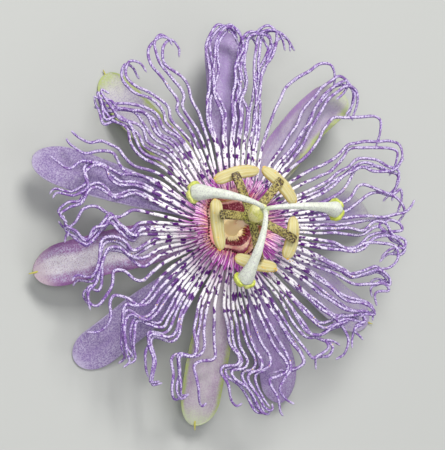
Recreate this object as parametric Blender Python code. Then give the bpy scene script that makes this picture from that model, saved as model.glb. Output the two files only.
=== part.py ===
"""A passion flower, picked just under its bracts and lying face up on its bent-back sepals and petals.

The flower's axis is vertical. From the bottom it has a short cut stem with three bracts, a green cup,
five sepals and five petals, a corona of long crimped filaments, a ring of short filaments, a frilled
lid over the nectar, and a column that carries five stamens, the ovary and three styles.

Sizes are in millimetres from the flower's axis and from the surface that it lies on. Directions are in
degrees, counted from +X towards +Y. make_object() turns them into metres.
"""

import math

import bmesh
import bpy
import numpy as np

MM = 0.001
AXIS_AT = np.array((1.75, -1.9, 0.0))  # moves the flower so that its box is centred on the origin
GAP = 0.3  # left between a piece and what it is seated on

# Heights of the stack, from the surface up
STEM_END_Z = 1.5
CUP_FOOT_Z = 7.6
SEPAL_ROOT_Z = 11.8  # underside of a sepal where it joins the cup
PETAL_ROOT_Z = 12.75
CUP_RIM_Z = 13.4
CORONA_FOOT_Z = CUP_RIM_Z + GAP
CORONA_TOP_Z = 15.1
INNER_ROW_Z = CORONA_TOP_Z + GAP
HUB_Z = 23.4  # where the five stamens spread from the column
STYLES_Z = 31.1  # where the three styles part

# Radii
STEM_R = 1.25
CUP_R = 6.2
CUP_BORE_R = 5.2
BLADE_ROOT_R = CUP_R + GAP
COLUMN_R = 1.05
HUB_R = 1.75
OVARY_R = 1.6

# Sepals and petals: direction, reach of the tip from the axis, height of the tip, sideways sweep
SEPALS = (
    (181.3, 37.5, 0.0, 0.6),
    (252.4, 36.3, 3.0, -0.2),
    (321.8, 35.9, 3.0, -1.0),
    (36.0, 36.5, 0.0, -0.4),
    (107.6, 39.6, 8.0, 2.0),
)
PETALS = (
    (220.2, 38.4, 6.5, 0.0),
    (281.8, 35.8, 0.0, 0.8),
    (353.8, 33.7, 2.0, -0.3),
    (72.0, 34.2, 2.0, 0.4),
    (146.8, 40.0, 8.0, 1.0),
)
PRESSED_FLAT = 0.4  # how far the tips that bear the flower are pressed in where they lie on the surface
BLADE_THICK = 0.75  # measured upright; about 0.6 square to the blade where it is steepest
SEPAL_HALF_WIDTH = 3.95
PETAL_HALF_WIDTH = 3.8
SEPAL_ROOT_HALF_WIDTH = 2.3
PETAL_ROOT_HALF_WIDTH = 1.45
SEPAL_FULL_AT = 0.36  # the share of its length where it reaches its full width
PETAL_FULL_AT = 0.55
SEPAL_EDGE_RISE = 0.9  # a sepal is a boat
PETAL_EDGE_RISE = -0.35  # a petal falls away at its edges
SEPAL_WAVE = 0.25
PETAL_WAVE = 0.45
ROUND_FROM = 0.8  # the share of a blade's length where its round tip starts, and where the ellipse would end
ROUND_TO = 1.015
BLADE_ROWS = 13
BLADE_COLUMNS = 5
AWN_RADIUS = (0.3, 0.3, 0.25, 0.15)

# Long corona filaments, in two rows taken in turn. They gather in tufts, and each tuft has its own crimp.
# For each tuft: how many filaments, then the line they follow as (reach, direction), out to its hooked tip
TUFTS = (
    (2, ((13.0, 351.4), (16.5, 354.0), (20.7, 355.7), (24.6, 357.5), (27.2, 357.5), (28.3, 356.7), (28.5, 352.3), (27.7, 346.0))),
    (1, ((13.0, 354.5), (17.0, 357.0), (22.0, 358.5), (25.4, 360.0), (28.1, 360.5), (28.5, 363.6), (28.5, 368.7), (27.2, 370.0), (30.0, 374.0))),
    (2, ((15.0, 4.0), (18.3, 4.2), (21.9, 3.0), (24.5, 4.7), (26.2, 9.8), (26.7, 15.1), (28.0, 20.4), (29.3, 25.6), (30.5, 28.0))),
    (1, ((15.0, 6.8), (21.0, 6.6), (24.9, 7.3), (28.4, 10.8), (29.6, 7.5), (28.6, 4.0), (30.5, 1.5))),
    (2, ((15.0, 10.0), (18.3, 10.8), (21.9, 11.4), (24.9, 13.4), (26.2, 18.6), (27.0, 22.5), (29.0, 25.5), (31.0, 26.5))),
    (1, ((14.3, 16.2), (20.0, 17.5), (25.0, 18.6), (28.5, 19.0), (30.5, 17.0), (32.3, 13.0), (31.8, 9.5))),
    (1, ((14.3, 19.2), (20.0, 19.9), (24.6, 20.6), (27.2, 23.2), (29.0, 25.9), (30.4, 28.4), (31.5, 26.0), (30.5, 21.5), (33.4, 21.5))),
    (1, ((15.3, 23.6), (21.4, 24.0), (25.9, 24.9), (28.0, 26.7), (30.0, 29.5), (31.8, 30.5), (32.5, 28.5))),
    (1, ((17.0, 27.4), (22.3, 26.7), (26.4, 27.1), (29.0, 28.4), (30.8, 26.7), (30.0, 24.0), (30.6, 20.5), (31.9, 16.2))),
    (2, ((16.0, 31.4), (21.4, 30.6), (25.4, 29.7), (28.6, 31.9), (31.2, 32.3), (31.9, 30.9), (30.2, 29.5), (29.4, 27.0))),
    (1, ((15.7, 36.0), (22.0, 37.0), (26.0, 36.9), (28.8, 39.6), (31.2, 41.3), (32.7, 40.0), (30.9, 37.8), (32.0, 34.0))),
    (1, ((16.0, 39.5), (23.0, 40.3), (25.7, 39.6), (28.8, 43.9), (30.5, 45.5), (32.6, 44.3), (31.5, 42.0), (30.4, 39.6), (31.4, 36.2))),
    (2, ((14.7, 43.9), (19.2, 42.2), (23.8, 40.8), (25.2, 40.4), (28.4, 44.8), (30.2, 46.5), (32.5, 45.2), (33.0, 42.9), (31.0, 42.9), (29.8, 40.5))),
    (2, ((15.0, 49.2), (21.0, 51.0), (24.8, 52.3), (28.0, 57.9), (30.4, 59.7), (32.7, 58.4), (34.4, 56.0), (33.3, 52.6))),
    (1, ((15.0, 53.2), (19.6, 53.4), (23.8, 51.7), (27.1, 55.3), (29.9, 56.2), (33.0, 54.9), (33.6, 51.0), (31.8, 47.5), (30.4, 46.6))),
    (2, ((16.0, 59.5), (22.5, 60.1), (25.8, 59.7), (28.6, 63.1), (30.5, 62.3), (31.9, 58.7), (34.4, 57.0), (34.0, 54.2), (31.6, 53.6), (30.0, 50.1))),
    (1, ((17.0, 63.5), (24.0, 63.8), (29.0, 65.2), (33.5, 63.5), (34.2, 61.0), (31.0, 60.6), (29.6, 62.8), (31.6, 64.5))),
    (1, ((17.0, 66.5), (24.1, 66.4), (30.8, 65.8), (35.0, 66.2), (37.4, 68.3), (38.9, 70.3))),
    (1, ((16.5, 69.5), (24.1, 70.0), (28.4, 74.5), (31.3, 74.9), (33.7, 72.8), (36.1, 74.2), (36.2, 70.9), (34.9, 66.5))),
    (1, ((16.5, 72.6), (24.1, 73.8), (27.4, 78.9), (29.9, 77.1), (33.2, 73.6), (35.0, 70.2), (36.2, 66.7), (34.0, 63.3))),
    (1, ((17.0, 76.5), (22.7, 78.4), (27.0, 84.0), (29.0, 85.8), (32.4, 83.2), (35.8, 78.8), (35.0, 75.0), (31.9, 71.6))),
    (1, ((16.8, 80.6), (21.0, 82.0), (26.5, 85.3), (29.5, 85.3), (31.5, 82.3), (34.9, 80.6), (36.8, 80.6), (39.0, 82.7))),
    (2, ((16.0, 84.6), (20.6, 84.9), (26.1, 86.7), (30.0, 87.5), (32.9, 84.9), (34.9, 81.4), (36.7, 78.8), (35.4, 75.0), (34.4, 71.6))),
    (1, ((15.0, 92.1), (20.4, 90.5), (23.3, 89.6), (27.3, 92.2), (29.7, 93.1), (33.7, 89.6), (36.7, 87.0), (38.3, 84.9), (36.7, 81.4), (34.9, 79.3))),
    (1, ((15.0, 97.2), (20.0, 95.6), (23.3, 93.8), (27.8, 94.3), (30.2, 94.8), (34.1, 91.3), (37.6, 88.6), (39.2, 86.6), (38.6, 83.2), (36.4, 80.6))),
    (1, ((15.5, 104.0), (20.5, 103.0), (25.5, 103.8), (27.9, 106.0), (30.9, 105.6), (33.8, 101.6), (37.8, 97.3), (38.5, 95.2), (36.8, 92.1), (34.7, 88.6))),
    (2, ((15.0, 109.0), (20.5, 108.9), (25.0, 110.6), (29.6, 112.1), (33.5, 112.0), (37.4, 110.7), (38.6, 107.4), (36.9, 103.6), (34.4, 101.3))),
    (1, ((15.0, 113.0), (20.5, 111.6), (27.6, 112.9), (32.0, 113.7), (35.4, 112.3), (38.0, 110.6), (37.0, 109.0), (33.6, 109.2))),
    (1, ((15.0, 117.0), (20.3, 116.1), (24.3, 116.1), (29.6, 116.5), (35.5, 114.6), (38.0, 113.3), (38.8, 110.6), (38.2, 106.9), (35.9, 104.3), (33.6, 103.4))),
    (1, ((15.6, 127.6), (19.9, 128.4), (25.2, 127.8), (29.8, 127.0), (33.8, 123.3), (37.9, 119.7), (39.0, 116.8), (37.6, 113.2), (36.0, 111.6))),
    (2, ((16.0, 132.4), (20.0, 133.6), (26.5, 137.2), (31.6, 139.4), (36.6, 139.8), (39.2, 138.5), (40.0, 135.0), (39.3, 131.5), (37.7, 129.6))),
    (1, ((16.0, 135.4), (20.0, 135.9), (27.9, 137.2), (33.4, 135.9), (37.6, 134.6), (39.4, 132.8), (39.7, 129.8), (38.9, 127.2))),
    (2, ((16.0, 138.2), (20.0, 137.8), (26.5, 137.9), (31.1, 137.6), (34.4, 135.9), (37.0, 135.0), (39.2, 135.9), (39.9, 138.5), (38.7, 140.7), (37.0, 142.2))),
    (2, ((15.5, 142.3), (19.2, 141.7), (22.9, 142.6), (25.7, 144.8), (28.4, 143.9), (32.0, 144.8), (36.1, 144.8), (38.3, 142.6), (38.8, 139.4), (37.2, 136.2), (35.3, 134.8))),
    (2, ((15.5, 146.8), (20.5, 145.2), (23.7, 145.9), (27.3, 143.9), (30.5, 146.0), (34.1, 144.8), (37.3, 143.6), (38.4, 140.4), (36.9, 138.4))),
    (1, ((15.5, 150.3), (20.0, 148.4), (24.4, 148.7), (29.0, 147.2), (31.7, 146.7), (34.2, 145.0), (36.4, 145.8), (38.4, 148.6), (37.4, 151.4))),
    (2, ((15.5, 154.6), (20.8, 153.2), (22.6, 153.7), (26.2, 156.3), (30.2, 154.5), (33.8, 154.0), (36.4, 152.3), (38.6, 149.4), (38.2, 146.0), (36.0, 144.5))),
    (2, ((15.5, 160.3), (20.0, 161.6), (24.6, 160.0), (26.6, 157.2), (30.0, 156.7), (35.3, 156.0), (37.6, 154.6), (39.3, 151.6), (38.6, 148.0), (36.5, 145.6))),
    (1, ((15.5, 165.0), (18.3, 165.2), (22.0, 165.8), (24.5, 167.0), (27.5, 166.6), (30.6, 169.7), (33.0, 172.3), (35.4, 170.6), (36.5, 167.0), (34.8, 164.8), (33.0, 165.6))),
    (1, ((15.5, 170.0), (20.1, 170.8), (24.0, 173.0), (26.0, 170.8), (29.6, 171.7), (33.5, 174.3), (36.5, 173.4), (38.1, 170.0), (36.5, 167.3))),
    (1, ((15.5, 173.0), (20.1, 173.5), (24.2, 175.7), (25.8, 173.7), (29.5, 174.3), (33.8, 177.0), (37.0, 174.9), (38.4, 171.2), (37.7, 168.5), (36.0, 167.5))),
    (2, ((15.5, 178.0), (18.0, 178.9), (22.8, 181.7), (25.1, 180.6), (28.5, 182.6), (31.5, 187.0), (33.9, 187.0), (36.0, 183.8), (34.7, 181.2), (32.4, 180.4))),
    (2, ((15.5, 183.7), (19.4, 184.2), (22.0, 187.2), (25.1, 186.9), (27.6, 188.6), (29.6, 192.9), (31.5, 196.0), (34.0, 198.5))),
    (2, ((15.5, 188.9), (19.0, 189.5), (22.0, 192.1), (25.1, 190.8), (27.6, 191.2), (29.8, 194.7), (31.0, 197.4), (33.0, 196.6), (34.9, 198.0))),
    (2, ((15.5, 194.4), (18.1, 194.7), (22.0, 198.2), (24.6, 196.2), (27.2, 197.2), (29.4, 199.4), (32.3, 198.2), (34.9, 195.8), (33.4, 194.6))),
    (2, ((15.5, 200.6), (18.1, 201.2), (22.0, 203.8), (24.6, 201.6), (27.2, 198.2), (29.8, 199.0), (31.2, 202.6), (33.6, 199.5), (35.4, 196.6))),
    (1, ((15.5, 207.6), (19.2, 208.8), (22.1, 211.9), (24.4, 210.6), (26.5, 208.3), (29.3, 209.7), (31.2, 212.5), (33.2, 212.4), (35.3, 211.2))),
    (1, ((15.5, 211.2), (18.0, 212.3), (22.1, 215.3), (24.4, 213.6), (26.5, 211.0), (29.0, 213.0), (31.2, 216.3), (33.5, 215.0), (35.0, 212.8))),
    (1, ((15.5, 214.6), (20.8, 214.4), (23.4, 218.4), (27.0, 217.7), (30.6, 219.4), (32.7, 223.4), (34.4, 222.6), (36.6, 221.0))),
    (2, ((15.5, 219.2), (19.1, 218.7), (21.0, 219.4), (23.4, 221.9), (25.6, 220.3), (27.0, 217.6), (29.1, 218.4), (30.2, 222.3), (29.3, 226.7), (31.4, 231.0), (34.4, 230.6), (35.3, 232.7))),
    (2, ((15.5, 224.9), (19.8, 223.3), (22.1, 227.0), (23.6, 228.4), (26.5, 225.7), (28.4, 228.2), (29.3, 233.4), (31.4, 235.0), (33.1, 237.7), (31.6, 240.2))),
    (1, ((15.5, 233.4), (19.4, 233.2), (22.5, 237.7), (26.0, 233.8), (28.5, 235.5), (29.7, 240.3), (31.4, 241.8), (32.7, 239.6))),
    (2, ((16.0, 241.0), (18.9, 241.9), (20.6, 246.0), (22.7, 240.8), (24.3, 237.7), (25.6, 241.5), (27.4, 245.6), (29.4, 247.9), (31.0, 244.7), (32.4, 242.6), (32.9, 238.6))),
    (2, ((16.0, 245.9), (18.5, 245.4), (20.0, 248.4), (22.2, 243.4), (24.0, 239.4), (25.5, 242.6), (27.5, 243.9), (28.8, 247.9), (30.4, 246.1), (31.8, 243.5), (32.6, 246.5))),
    (2, ((15.1, 251.9), (18.2, 254.6), (20.4, 255.9), (21.5, 250.9), (23.2, 247.6), (25.2, 248.3), (26.6, 253.5), (27.7, 259.2), (29.1, 261.0), (30.9, 258.7), (32.2, 260.2))),
    (1, ((15.4, 258.0), (19.2, 260.4), (21.0, 257.6), (23.0, 252.2), (25.3, 252.0), (27.0, 257.0), (28.8, 262.4), (31.3, 264.6), (32.3, 270.3))),
    (1, ((15.7, 262.0), (19.4, 264.4), (21.2, 260.2), (22.7, 253.8), (24.9, 252.0), (26.8, 255.4), (27.6, 260.5), (29.3, 265.3), (30.9, 263.6), (32.2, 264.8), (32.0, 268.2))),
    (1, ((15.8, 267.5), (18.6, 269.2), (21.4, 270.2), (22.9, 267.6), (23.8, 262.6), (25.5, 261.1), (27.0, 265.7), (28.8, 268.6), (31.2, 269.8), (32.2, 267.6), (31.6, 263.6), (30.2, 262.8))),
    (1, ((14.7, 272.9), (19.2, 275.9), (22.0, 278.5), (24.1, 278.5), (25.2, 272.4), (26.6, 269.9), (28.1, 271.8), (30.2, 276.7), (32.2, 277.4), (34.3, 275.3))),
    (1, ((15.6, 277.5), (18.8, 278.9), (22.9, 280.3), (24.7, 277.8), (26.1, 275.3), (27.3, 276.9), (28.8, 280.6), (31.0, 285.8), (31.6, 291.3))),
    (2, ((15.4, 283.0), (19.6, 284.1), (22.7, 285.8), (24.9, 284.4), (26.1, 278.8), (27.5, 278.9), (29.8, 283.2), (31.6, 286.7), (32.3, 289.8), (33.9, 289.6))),
    (2, ((15.6, 288.6), (18.2, 289.6), (22.5, 291.5), (24.1, 291.5), (25.2, 286.6), (26.2, 282.6), (27.9, 283.4), (29.9, 287.4), (31.4, 290.8), (33.0, 290.2))),
    (1, ((15.6, 292.6), (19.0, 293.6), (22.7, 295.4), (24.9, 294.6), (26.5, 289.9), (28.1, 292.0), (29.9, 293.0), (31.4, 295.6), (33.1, 299.0))),
    (2, ((15.5, 296.3), (20.0, 297.2), (23.1, 299.5), (25.0, 297.9), (26.1, 291.6), (27.5, 292.0), (29.5, 296.7), (31.7, 298.7), (33.3, 300.4), (31.9, 303.4))),
    (1, ((16.0, 302.4), (21.3, 306.1), (24.2, 309.8), (26.2, 309.2), (26.8, 304.3), (28.1, 305.3), (31.1, 307.8), (33.4, 310.4), (32.4, 313.5))),
    (2, ((16.0, 307.2), (20.9, 310.1), (24.2, 312.0), (25.7, 310.3), (26.4, 304.8), (27.6, 303.8), (29.9, 306.3), (32.7, 307.5), (33.8, 309.9), (32.1, 313.0))),
    (1, ((15.2, 313.6), (18.6, 316.3), (22.2, 317.9), (25.0, 318.9), (26.3, 313.2), (27.4, 311.8), (29.1, 313.5), (31.9, 316.2), (33.4, 318.6), (32.6, 320.8))),
    (1, ((15.0, 319.6), (18.9, 323.6), (21.9, 325.9), (24.3, 329.4), (25.6, 328.5), (26.0, 323.7), (27.0, 322.6), (28.6, 324.3), (31.4, 326.9), (32.7, 329.3), (32.3, 331.5))),
    (2, ((15.3, 325.3), (18.3, 327.6), (21.9, 329.5), (24.7, 332.2), (26.0, 330.7), (26.6, 326.2), (28.0, 327.0), (29.5, 331.1), (31.9, 334.4), (34.2, 336.4), (34.6, 338.9), (33.2, 338.8))),
    (2, ((13.5, 331.1), (16.6, 333.1), (21.6, 335.8), (25.5, 338.4), (26.9, 337.0), (27.3, 333.2), (28.5, 332.4), (30.7, 334.4), (33.5, 337.1), (34.2, 339.5), (32.9, 340.4))),
    (1, ((13.5, 337.5), (18.1, 339.9), (21.6, 341.6), (24.6, 344.5), (26.4, 343.8), (27.4, 340.4), (28.0, 336.8), (29.6, 336.6), (32.4, 338.6), (34.3, 340.6))),
    (1, ((13.5, 342.0), (19.4, 345.6), (22.5, 347.3), (25.9, 349.8), (27.9, 349.0), (28.6, 345.2), (28.7, 341.9), (30.2, 341.8), (32.2, 343.2), (34.6, 343.2), (35.8, 344.1))),
    (1, ((13.5, 347.0), (20.0, 349.6), (25.0, 352.3), (28.2, 351.3), (29.8, 347.4), (31.2, 344.9), (33.2, 346.8), (34.6, 349.4))),
)
FILAMENT_POINTS = 15
TUFT_PITCH = 2.5  # degrees between filaments of one tuft
TIP_PITCH = 0.55  # the share of that left at their tips
CORONA_SEED = 11
CORONA_ROOT_R = 6.6
ROW_Z = (14.25, 14.85)
TIP_Z = 13.9
ROW_APART = 0.8  # at the tips
TIP_TILT_Z = 0.9  # the tips are this much higher towards TIP_TILT_TO, and lower on the other side
TIP_TILT_TO = 110
TIP_DROP = 1.1  # how far the last stretch of a filament hangs down
LENGTH_VARIES = 0.02  # as a share of a filament's length, up or down
SWAY_ASIDE = 0.1  # height of a filament's own small waves, sideways and up
SWAY_UP = 0.3
FILAMENT_ROOT_R = 0.22  # a filament's radius at its root, what it gains in its banded part, and what it loses
FILAMENT_SWELL = 0.10
FILAMENT_THINS = 0.05
FILAMENT_TAPER = 0.08

# Short corona filaments
SHORT_FILAMENTS = 54
SHORT_ROOT_R = 5.8
SHORT_LENGTH = 3.8
SHORT_RISE = 12
SHORT_RADIUS = (0.2, 0.24, 0.16)  # at its root, its middle and its tip

# Operculum
PLEATS = 16

# Stamens: direction, reach and height of the arm's end, then the two ends of its anther as (reach, direction)
STAMENS = (
    (172.0, 8.5, 23.6, (9.2, 194.0), (9.3, 135.0)),
    (109.5, 9.3, 23.6, (10.0, 132.0), (9.8, 78.6)),
    (244.0, 7.1, 25.4, (7.3, 222.0), (9.1, 286.0)),
    (32.5, 9.2, 23.8, (8.7, 64.0), (10.0, 13.0)),
    (335.5, 8.5, 23.8, (8.0, 307.0), (10.3, 359.0)),
)
ARM_HALF_WIDTH = 0.85
ARM_HALF_THICK = 0.35
ANTHER_HALF_WIDTH = 1.3
ANTHER_HALF_THICK = 0.75
ANTHER_BOW = 0.45  # outwards at its middle
ANTHER_SAG = 0.5  # down at its ends

# Styles: direction, reach of the end, height of the arch's middle, height of the end
STYLES = (
    (224.5, 12.2, 30.3, 25.9),
    (63.5, 14.6, 30.2, 27.6),
    (316.0, 12.5, 30.0, 25.9),
)
STYLE_SHARES = (0, 0.3, 0.5, 0.7, 0.83, 0.9, 0.97, 1)
STYLE_RADII = (0.45, 0.45, 0.57, 0.83, 1.0, 1.25, 1.56, 1.62)  # at those shares of a style's length
STIGMA_R = 1.85
STIGMA_LOBES = 0.14
STIGMA_DEPTH = 1.25

BRACT_DIRECTIONS = (95, 215, 335)
BRACT_LENGTH = 5.5
BRACT_HALF_WIDTH = 1.35
BRACT_HALF_THICK = 0.32


def clear_scene():
    for obj in list(bpy.data.objects):
        bpy.data.objects.remove(obj)


def material(name, colour, roughness):
    made = bpy.data.materials.new(name)
    made.use_nodes = True
    shader = made.node_tree.nodes["Principled BSDF"]
    shader.inputs["Base Color"].default_value = (*colour, 1)
    shader.inputs["Roughness"].default_value = roughness
    shader.inputs["Metallic"].default_value = 0
    return made


def face_out(mesh):
    """Turns the faces of a closed mesh outwards."""
    work = bmesh.new()
    work.from_mesh(mesh)
    bmesh.ops.recalc_face_normals(work, faces=work.faces)
    work.to_mesh(mesh)
    work.free()


def make_object(name, points, faces, finish):
    """One named object from points in millimetres."""
    mesh = bpy.data.meshes.new(name)
    placed = (np.asarray(points, float) + AXIS_AT) * MM
    mesh.from_pydata(placed.tolist(), [], [tuple(int(i) for i in face) for face in faces])
    mesh.validate()
    face_out(mesh)
    if finish:
        mesh.materials.append(finish)
    obj = bpy.data.objects.new(name, mesh)
    bpy.context.scene.collection.objects.link(obj)
    return obj


def smooth(obj, angle=50):
    obj.data.shade_smooth()
    obj.data.set_sharp_from_angle(angle=math.radians(angle))


def polar(direction, reach, z):
    """The point at that reach from the axis, in that direction."""
    turn = math.radians(direction)
    return np.array((reach * math.cos(turn), reach * math.sin(turn), z))


def ease(x):
    """0 below 0, 1 above 1, and a smooth step between."""
    x = np.clip(x, 0, 1)
    return x * x * (3 - 2 * x)


def bezier(a, b, c, d, t):
    t = np.asarray(t)[:, None]
    return a * (1 - t) ** 3 + 3 * b * t * (1 - t) ** 2 + 3 * c * t**2 * (1 - t) + d * t**3


def sweep(path, half_widths, half_heights, section, up=(0, 0, 1)):
    """A closed tube: the section, as (sideways, upwards) pairs, carried along the path and scaled."""
    path = np.asarray(path, float)
    along = np.gradient(path, axis=0)
    along /= np.linalg.norm(along, axis=1)[:, None]
    side = np.cross(along, up)
    side /= np.linalg.norm(side, axis=1)[:, None]
    top = np.cross(side, along)
    section = np.asarray(section, float)
    across = np.asarray(half_widths)[:, None, None] * section[None, :, 0, None] * side[:, None, :]
    upwards = np.asarray(half_heights)[:, None, None] * section[None, :, 1, None] * top[:, None, :]
    points = (path[:, None, :] + across + upwards).reshape(-1, 3)
    return points, tube_faces(len(path), len(section))


def tube_faces(rings, sides):
    """Quads between the rings, and a flat cap at each end."""
    faces = []
    for i in range(rings - 1):
        for j in range(sides):
            k = (j + 1) % sides
            faces.append((i * sides + j, (i + 1) * sides + j, (i + 1) * sides + k, i * sides + k))
    faces.append(tuple(range(sides)))
    faces.append(tuple(reversed(range((rings - 1) * sides, rings * sides))))
    return faces


def ring_section(sides, turn=0.0):
    angles = turn + np.arange(sides) * 2 * math.pi / sides
    return np.stack((-np.cos(angles), np.sin(angles)), axis=1)


def turned(profile, segments):
    """The solid that a profile of (radius, height) pairs sweeps round the axis.

    A profile that starts and ends on the axis makes a solid with a pole at each end, any other a ring.
    """
    profile = np.asarray(profile, float)
    poles = profile[0, 0] == 0
    body = profile[1:-1] if poles else profile
    count = len(body)
    angles = np.arange(segments) * 2 * math.pi / segments
    points = [
        np.stack((body[:, 0] * math.cos(a), body[:, 0] * math.sin(a), body[:, 1]), axis=1) for a in angles
    ]
    faces = []
    for i in range(segments):
        n = (i + 1) % segments
        for j in range(count - 1 if poles else count):
            k = (j + 1) % count
            faces.append((i * count + j, n * count + j, n * count + k, i * count + k))
    if poles:
        first, last = segments * count, segments * count + 1
        points.append(np.array(((0, 0, profile[0, 1]), (0, 0, profile[-1, 1]))))
        for i in range(segments):
            n = (i + 1) % segments
            faces.append((first, n * count, i * count))
            faces.append((last, i * count + count - 1, n * count + count - 1))
    return np.concatenate(points), faces


def join(name, body, others, finish, solver="EXACT"):
    """Unites the body with all the others, which are then removed."""
    tools = bpy.data.collections.new(name + "_pieces")
    bpy.context.scene.collection.children.link(tools)
    for obj in others:
        bpy.context.scene.collection.objects.unlink(obj)
        tools.objects.link(obj)
    union = body.modifiers.new("union", "BOOLEAN")
    union.operation = "UNION"
    union.operand_type = "COLLECTION"
    union.collection = tools
    union.solver = solver
    graph = bpy.context.evaluated_depsgraph_get()
    mesh = bpy.data.meshes.new_from_object(body.evaluated_get(graph))
    body.modifiers.clear()
    body.data = mesh
    mesh.materials.clear()
    mesh.materials.append(finish)
    for obj in others:
        bpy.data.objects.remove(obj)
    bpy.data.collections.remove(tools)
    body.name = name
    return body


# ---------------------------------------------------------------- stem, bracts and cup


def make_stem(finish):
    """The short stub of stem left under the flower, cut square, a little bent."""
    heights = np.linspace(STEM_END_Z, CUP_FOOT_Z - GAP, 7)
    share = (heights - STEM_END_Z) / (CUP_FOOT_Z - STEM_END_Z)
    path = np.stack((-0.5 * (1 - share) ** 2, 0.3 * (1 - share) ** 2, heights), axis=1)
    radii = STEM_R + 0.55 * ease((share - 0.55) / 0.45)
    points, faces = sweep(path, radii, radii, ring_section(12), up=(0, 1, 0))
    obj = make_object("stem", points, faces, finish)
    smooth(obj)


def make_bract(number, direction, finish):
    """A small pointed leaf under the cup, standing out from the stem and curving up."""
    share = np.linspace(0, 1, 7)
    reach = STEM_R + 0.15 + GAP + BRACT_LENGTH * 0.85 * share
    height = CUP_FOOT_Z - 1.9 - 0.9 * share + 1.1 * share**2
    turn = math.radians(direction)
    path = np.stack((reach * math.cos(turn), reach * math.sin(turn), height), axis=1)
    width = BRACT_HALF_WIDTH * np.sin(math.pi * (0.2 + 0.75 * share)) ** 0.8
    section = np.array(((-1, 0.25), (-0.5, 0.75), (0.5, 0.75), (1, 0.25), (0.5, -1), (-0.5, -1)))
    points, faces = sweep(path, width, np.full(7, BRACT_HALF_THICK), section)
    obj = make_object(f"bract_{number}", points, faces, finish)
    smooth(obj)


def make_cup(finish):
    """The green cup: a bowl with a thick floor, and a low ring round the foot of the column."""
    profile = (
        (0.0, CUP_FOOT_Z),
        (1.9, CUP_FOOT_Z),
        (3.9, CUP_FOOT_Z + 0.7),
        (5.5, CUP_FOOT_Z + 2.2),
        (CUP_R, CUP_FOOT_Z + 4.0),
        (CUP_R, CUP_RIM_Z),
        (CUP_BORE_R, CUP_RIM_Z),
        (CUP_BORE_R - 0.2, 12.2),
        (4.2, 11.3),
        (2.95, 11.1),
        (2.8, 12.2),
        (1.8, 12.55),
        (1.7, 11.0),
        (0.0, 11.0),
    )
    smooth(make_object("calyx_cup", *turned(profile, 30), finish))


# ---------------------------------------------------------------- sepals and petals


def blade_half_width(share, root, widest, full_at):
    """Narrow at the root, widest past the middle, and round at the tip."""
    body = root + (widest - root) * ease(share / full_at)
    round_off = np.sqrt(np.clip(1 - ((share - ROUND_FROM) / (ROUND_TO - ROUND_FROM)) ** 2, 0, 1))
    return body * np.where(share > ROUND_FROM, round_off, 1)


def blade_line(root_z, reach, tip_z, share):
    """Reach and height of the underside's middle line: out from the cup, bent back, and to the tip.

    A tip at height 0 is one that the flower lies on. It runs out flat, and blade_surface levels it.
    """
    start = np.array((BLADE_ROOT_R, root_z))
    tip = np.array((reach, tip_z))
    span = reach - BLADE_ROOT_R
    leave = start + np.array((0.38 * span, 0.0))
    if tip_z == 0:
        tip[1] = -PRESSED_FLAT
        arrive = tip - np.array((0.30 * span, 0.0))
    else:
        arrive = tip + np.array((-0.28 * span, 0.2 * span * (root_z - tip_z) / root_z + 1.2))
    return bezier(start, leave, arrive, tip, share)


def blade_surface(root_z, row, root_half, widest, full_at, edge_rise, wave, share, across):
    """Underside of a sepal or petal over a grid: share runs to the tip, across runs from -1 to 1."""
    direction, reach, tip_z, sideways = row
    line = blade_line(root_z, reach, tip_z, share)
    width = blade_half_width(share, root_half, widest, full_at)
    turn = math.radians(direction)
    out = np.array((math.cos(turn), math.sin(turn)))
    side = np.array((-math.sin(turn), math.cos(turn)))
    bend = sideways * np.sin(math.pi * share)
    offset = bend[:, None] + width[:, None] * across[None, :]
    plan = line[:, 0, None, None] * out + offset[:, :, None] * side
    grow = ease((share - 0.1) / 0.35)
    rise = edge_rise * (grow * width / widest)[:, None] * across[None, :] ** 2
    ripple = np.sin(2 * math.pi * (2.3 * share[:, None] + 0.31 * np.sign(across)[None, :] + direction / 57))
    rise = rise + wave * grow[:, None] * np.abs(across)[None, :] ** 3 * ripple
    z = np.maximum(line[:, 1, None] + rise, 0)
    return np.concatenate((plan, z[:, :, None]), axis=2)


def blade_solid(under):
    """A plate of even upright thickness over the grid, with the same triangles on both faces."""
    rows, columns = under.shape[:2]
    over = under + np.array((0, 0, BLADE_THICK))
    points = np.concatenate((under.reshape(-1, 3), over.reshape(-1, 3)))
    top = rows * columns
    faces = []
    for i in range(rows - 1):
        for j in range(columns - 1):
            a, b = i * columns + j, (i + 1) * columns + j
            c, d = b + 1, a + 1
            faces += [(a, d, c), (a, c, b)]
            faces += [(top + a, top + c, top + d), (top + a, top + b, top + c)]
    rim = [i * columns for i in range(rows)]
    rim += [(rows - 1) * columns + j for j in range(1, columns)]
    rim += [i * columns + columns - 1 for i in range(rows - 2, -1, -1)]
    rim += list(range(columns - 2, 0, -1))
    for n, a in enumerate(rim):
        b = rim[(n + 1) % len(rim)]
        faces.append((a, b, top + b, top + a))
    return points, faces


def blade_grid():
    """Shares along the blade, closer at its round tip, and five lines across it."""
    share = 1 - (1 - np.linspace(0, 1, BLADE_ROWS)) ** 1.35
    return share, np.linspace(-1, 1, BLADE_COLUMNS)


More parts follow.
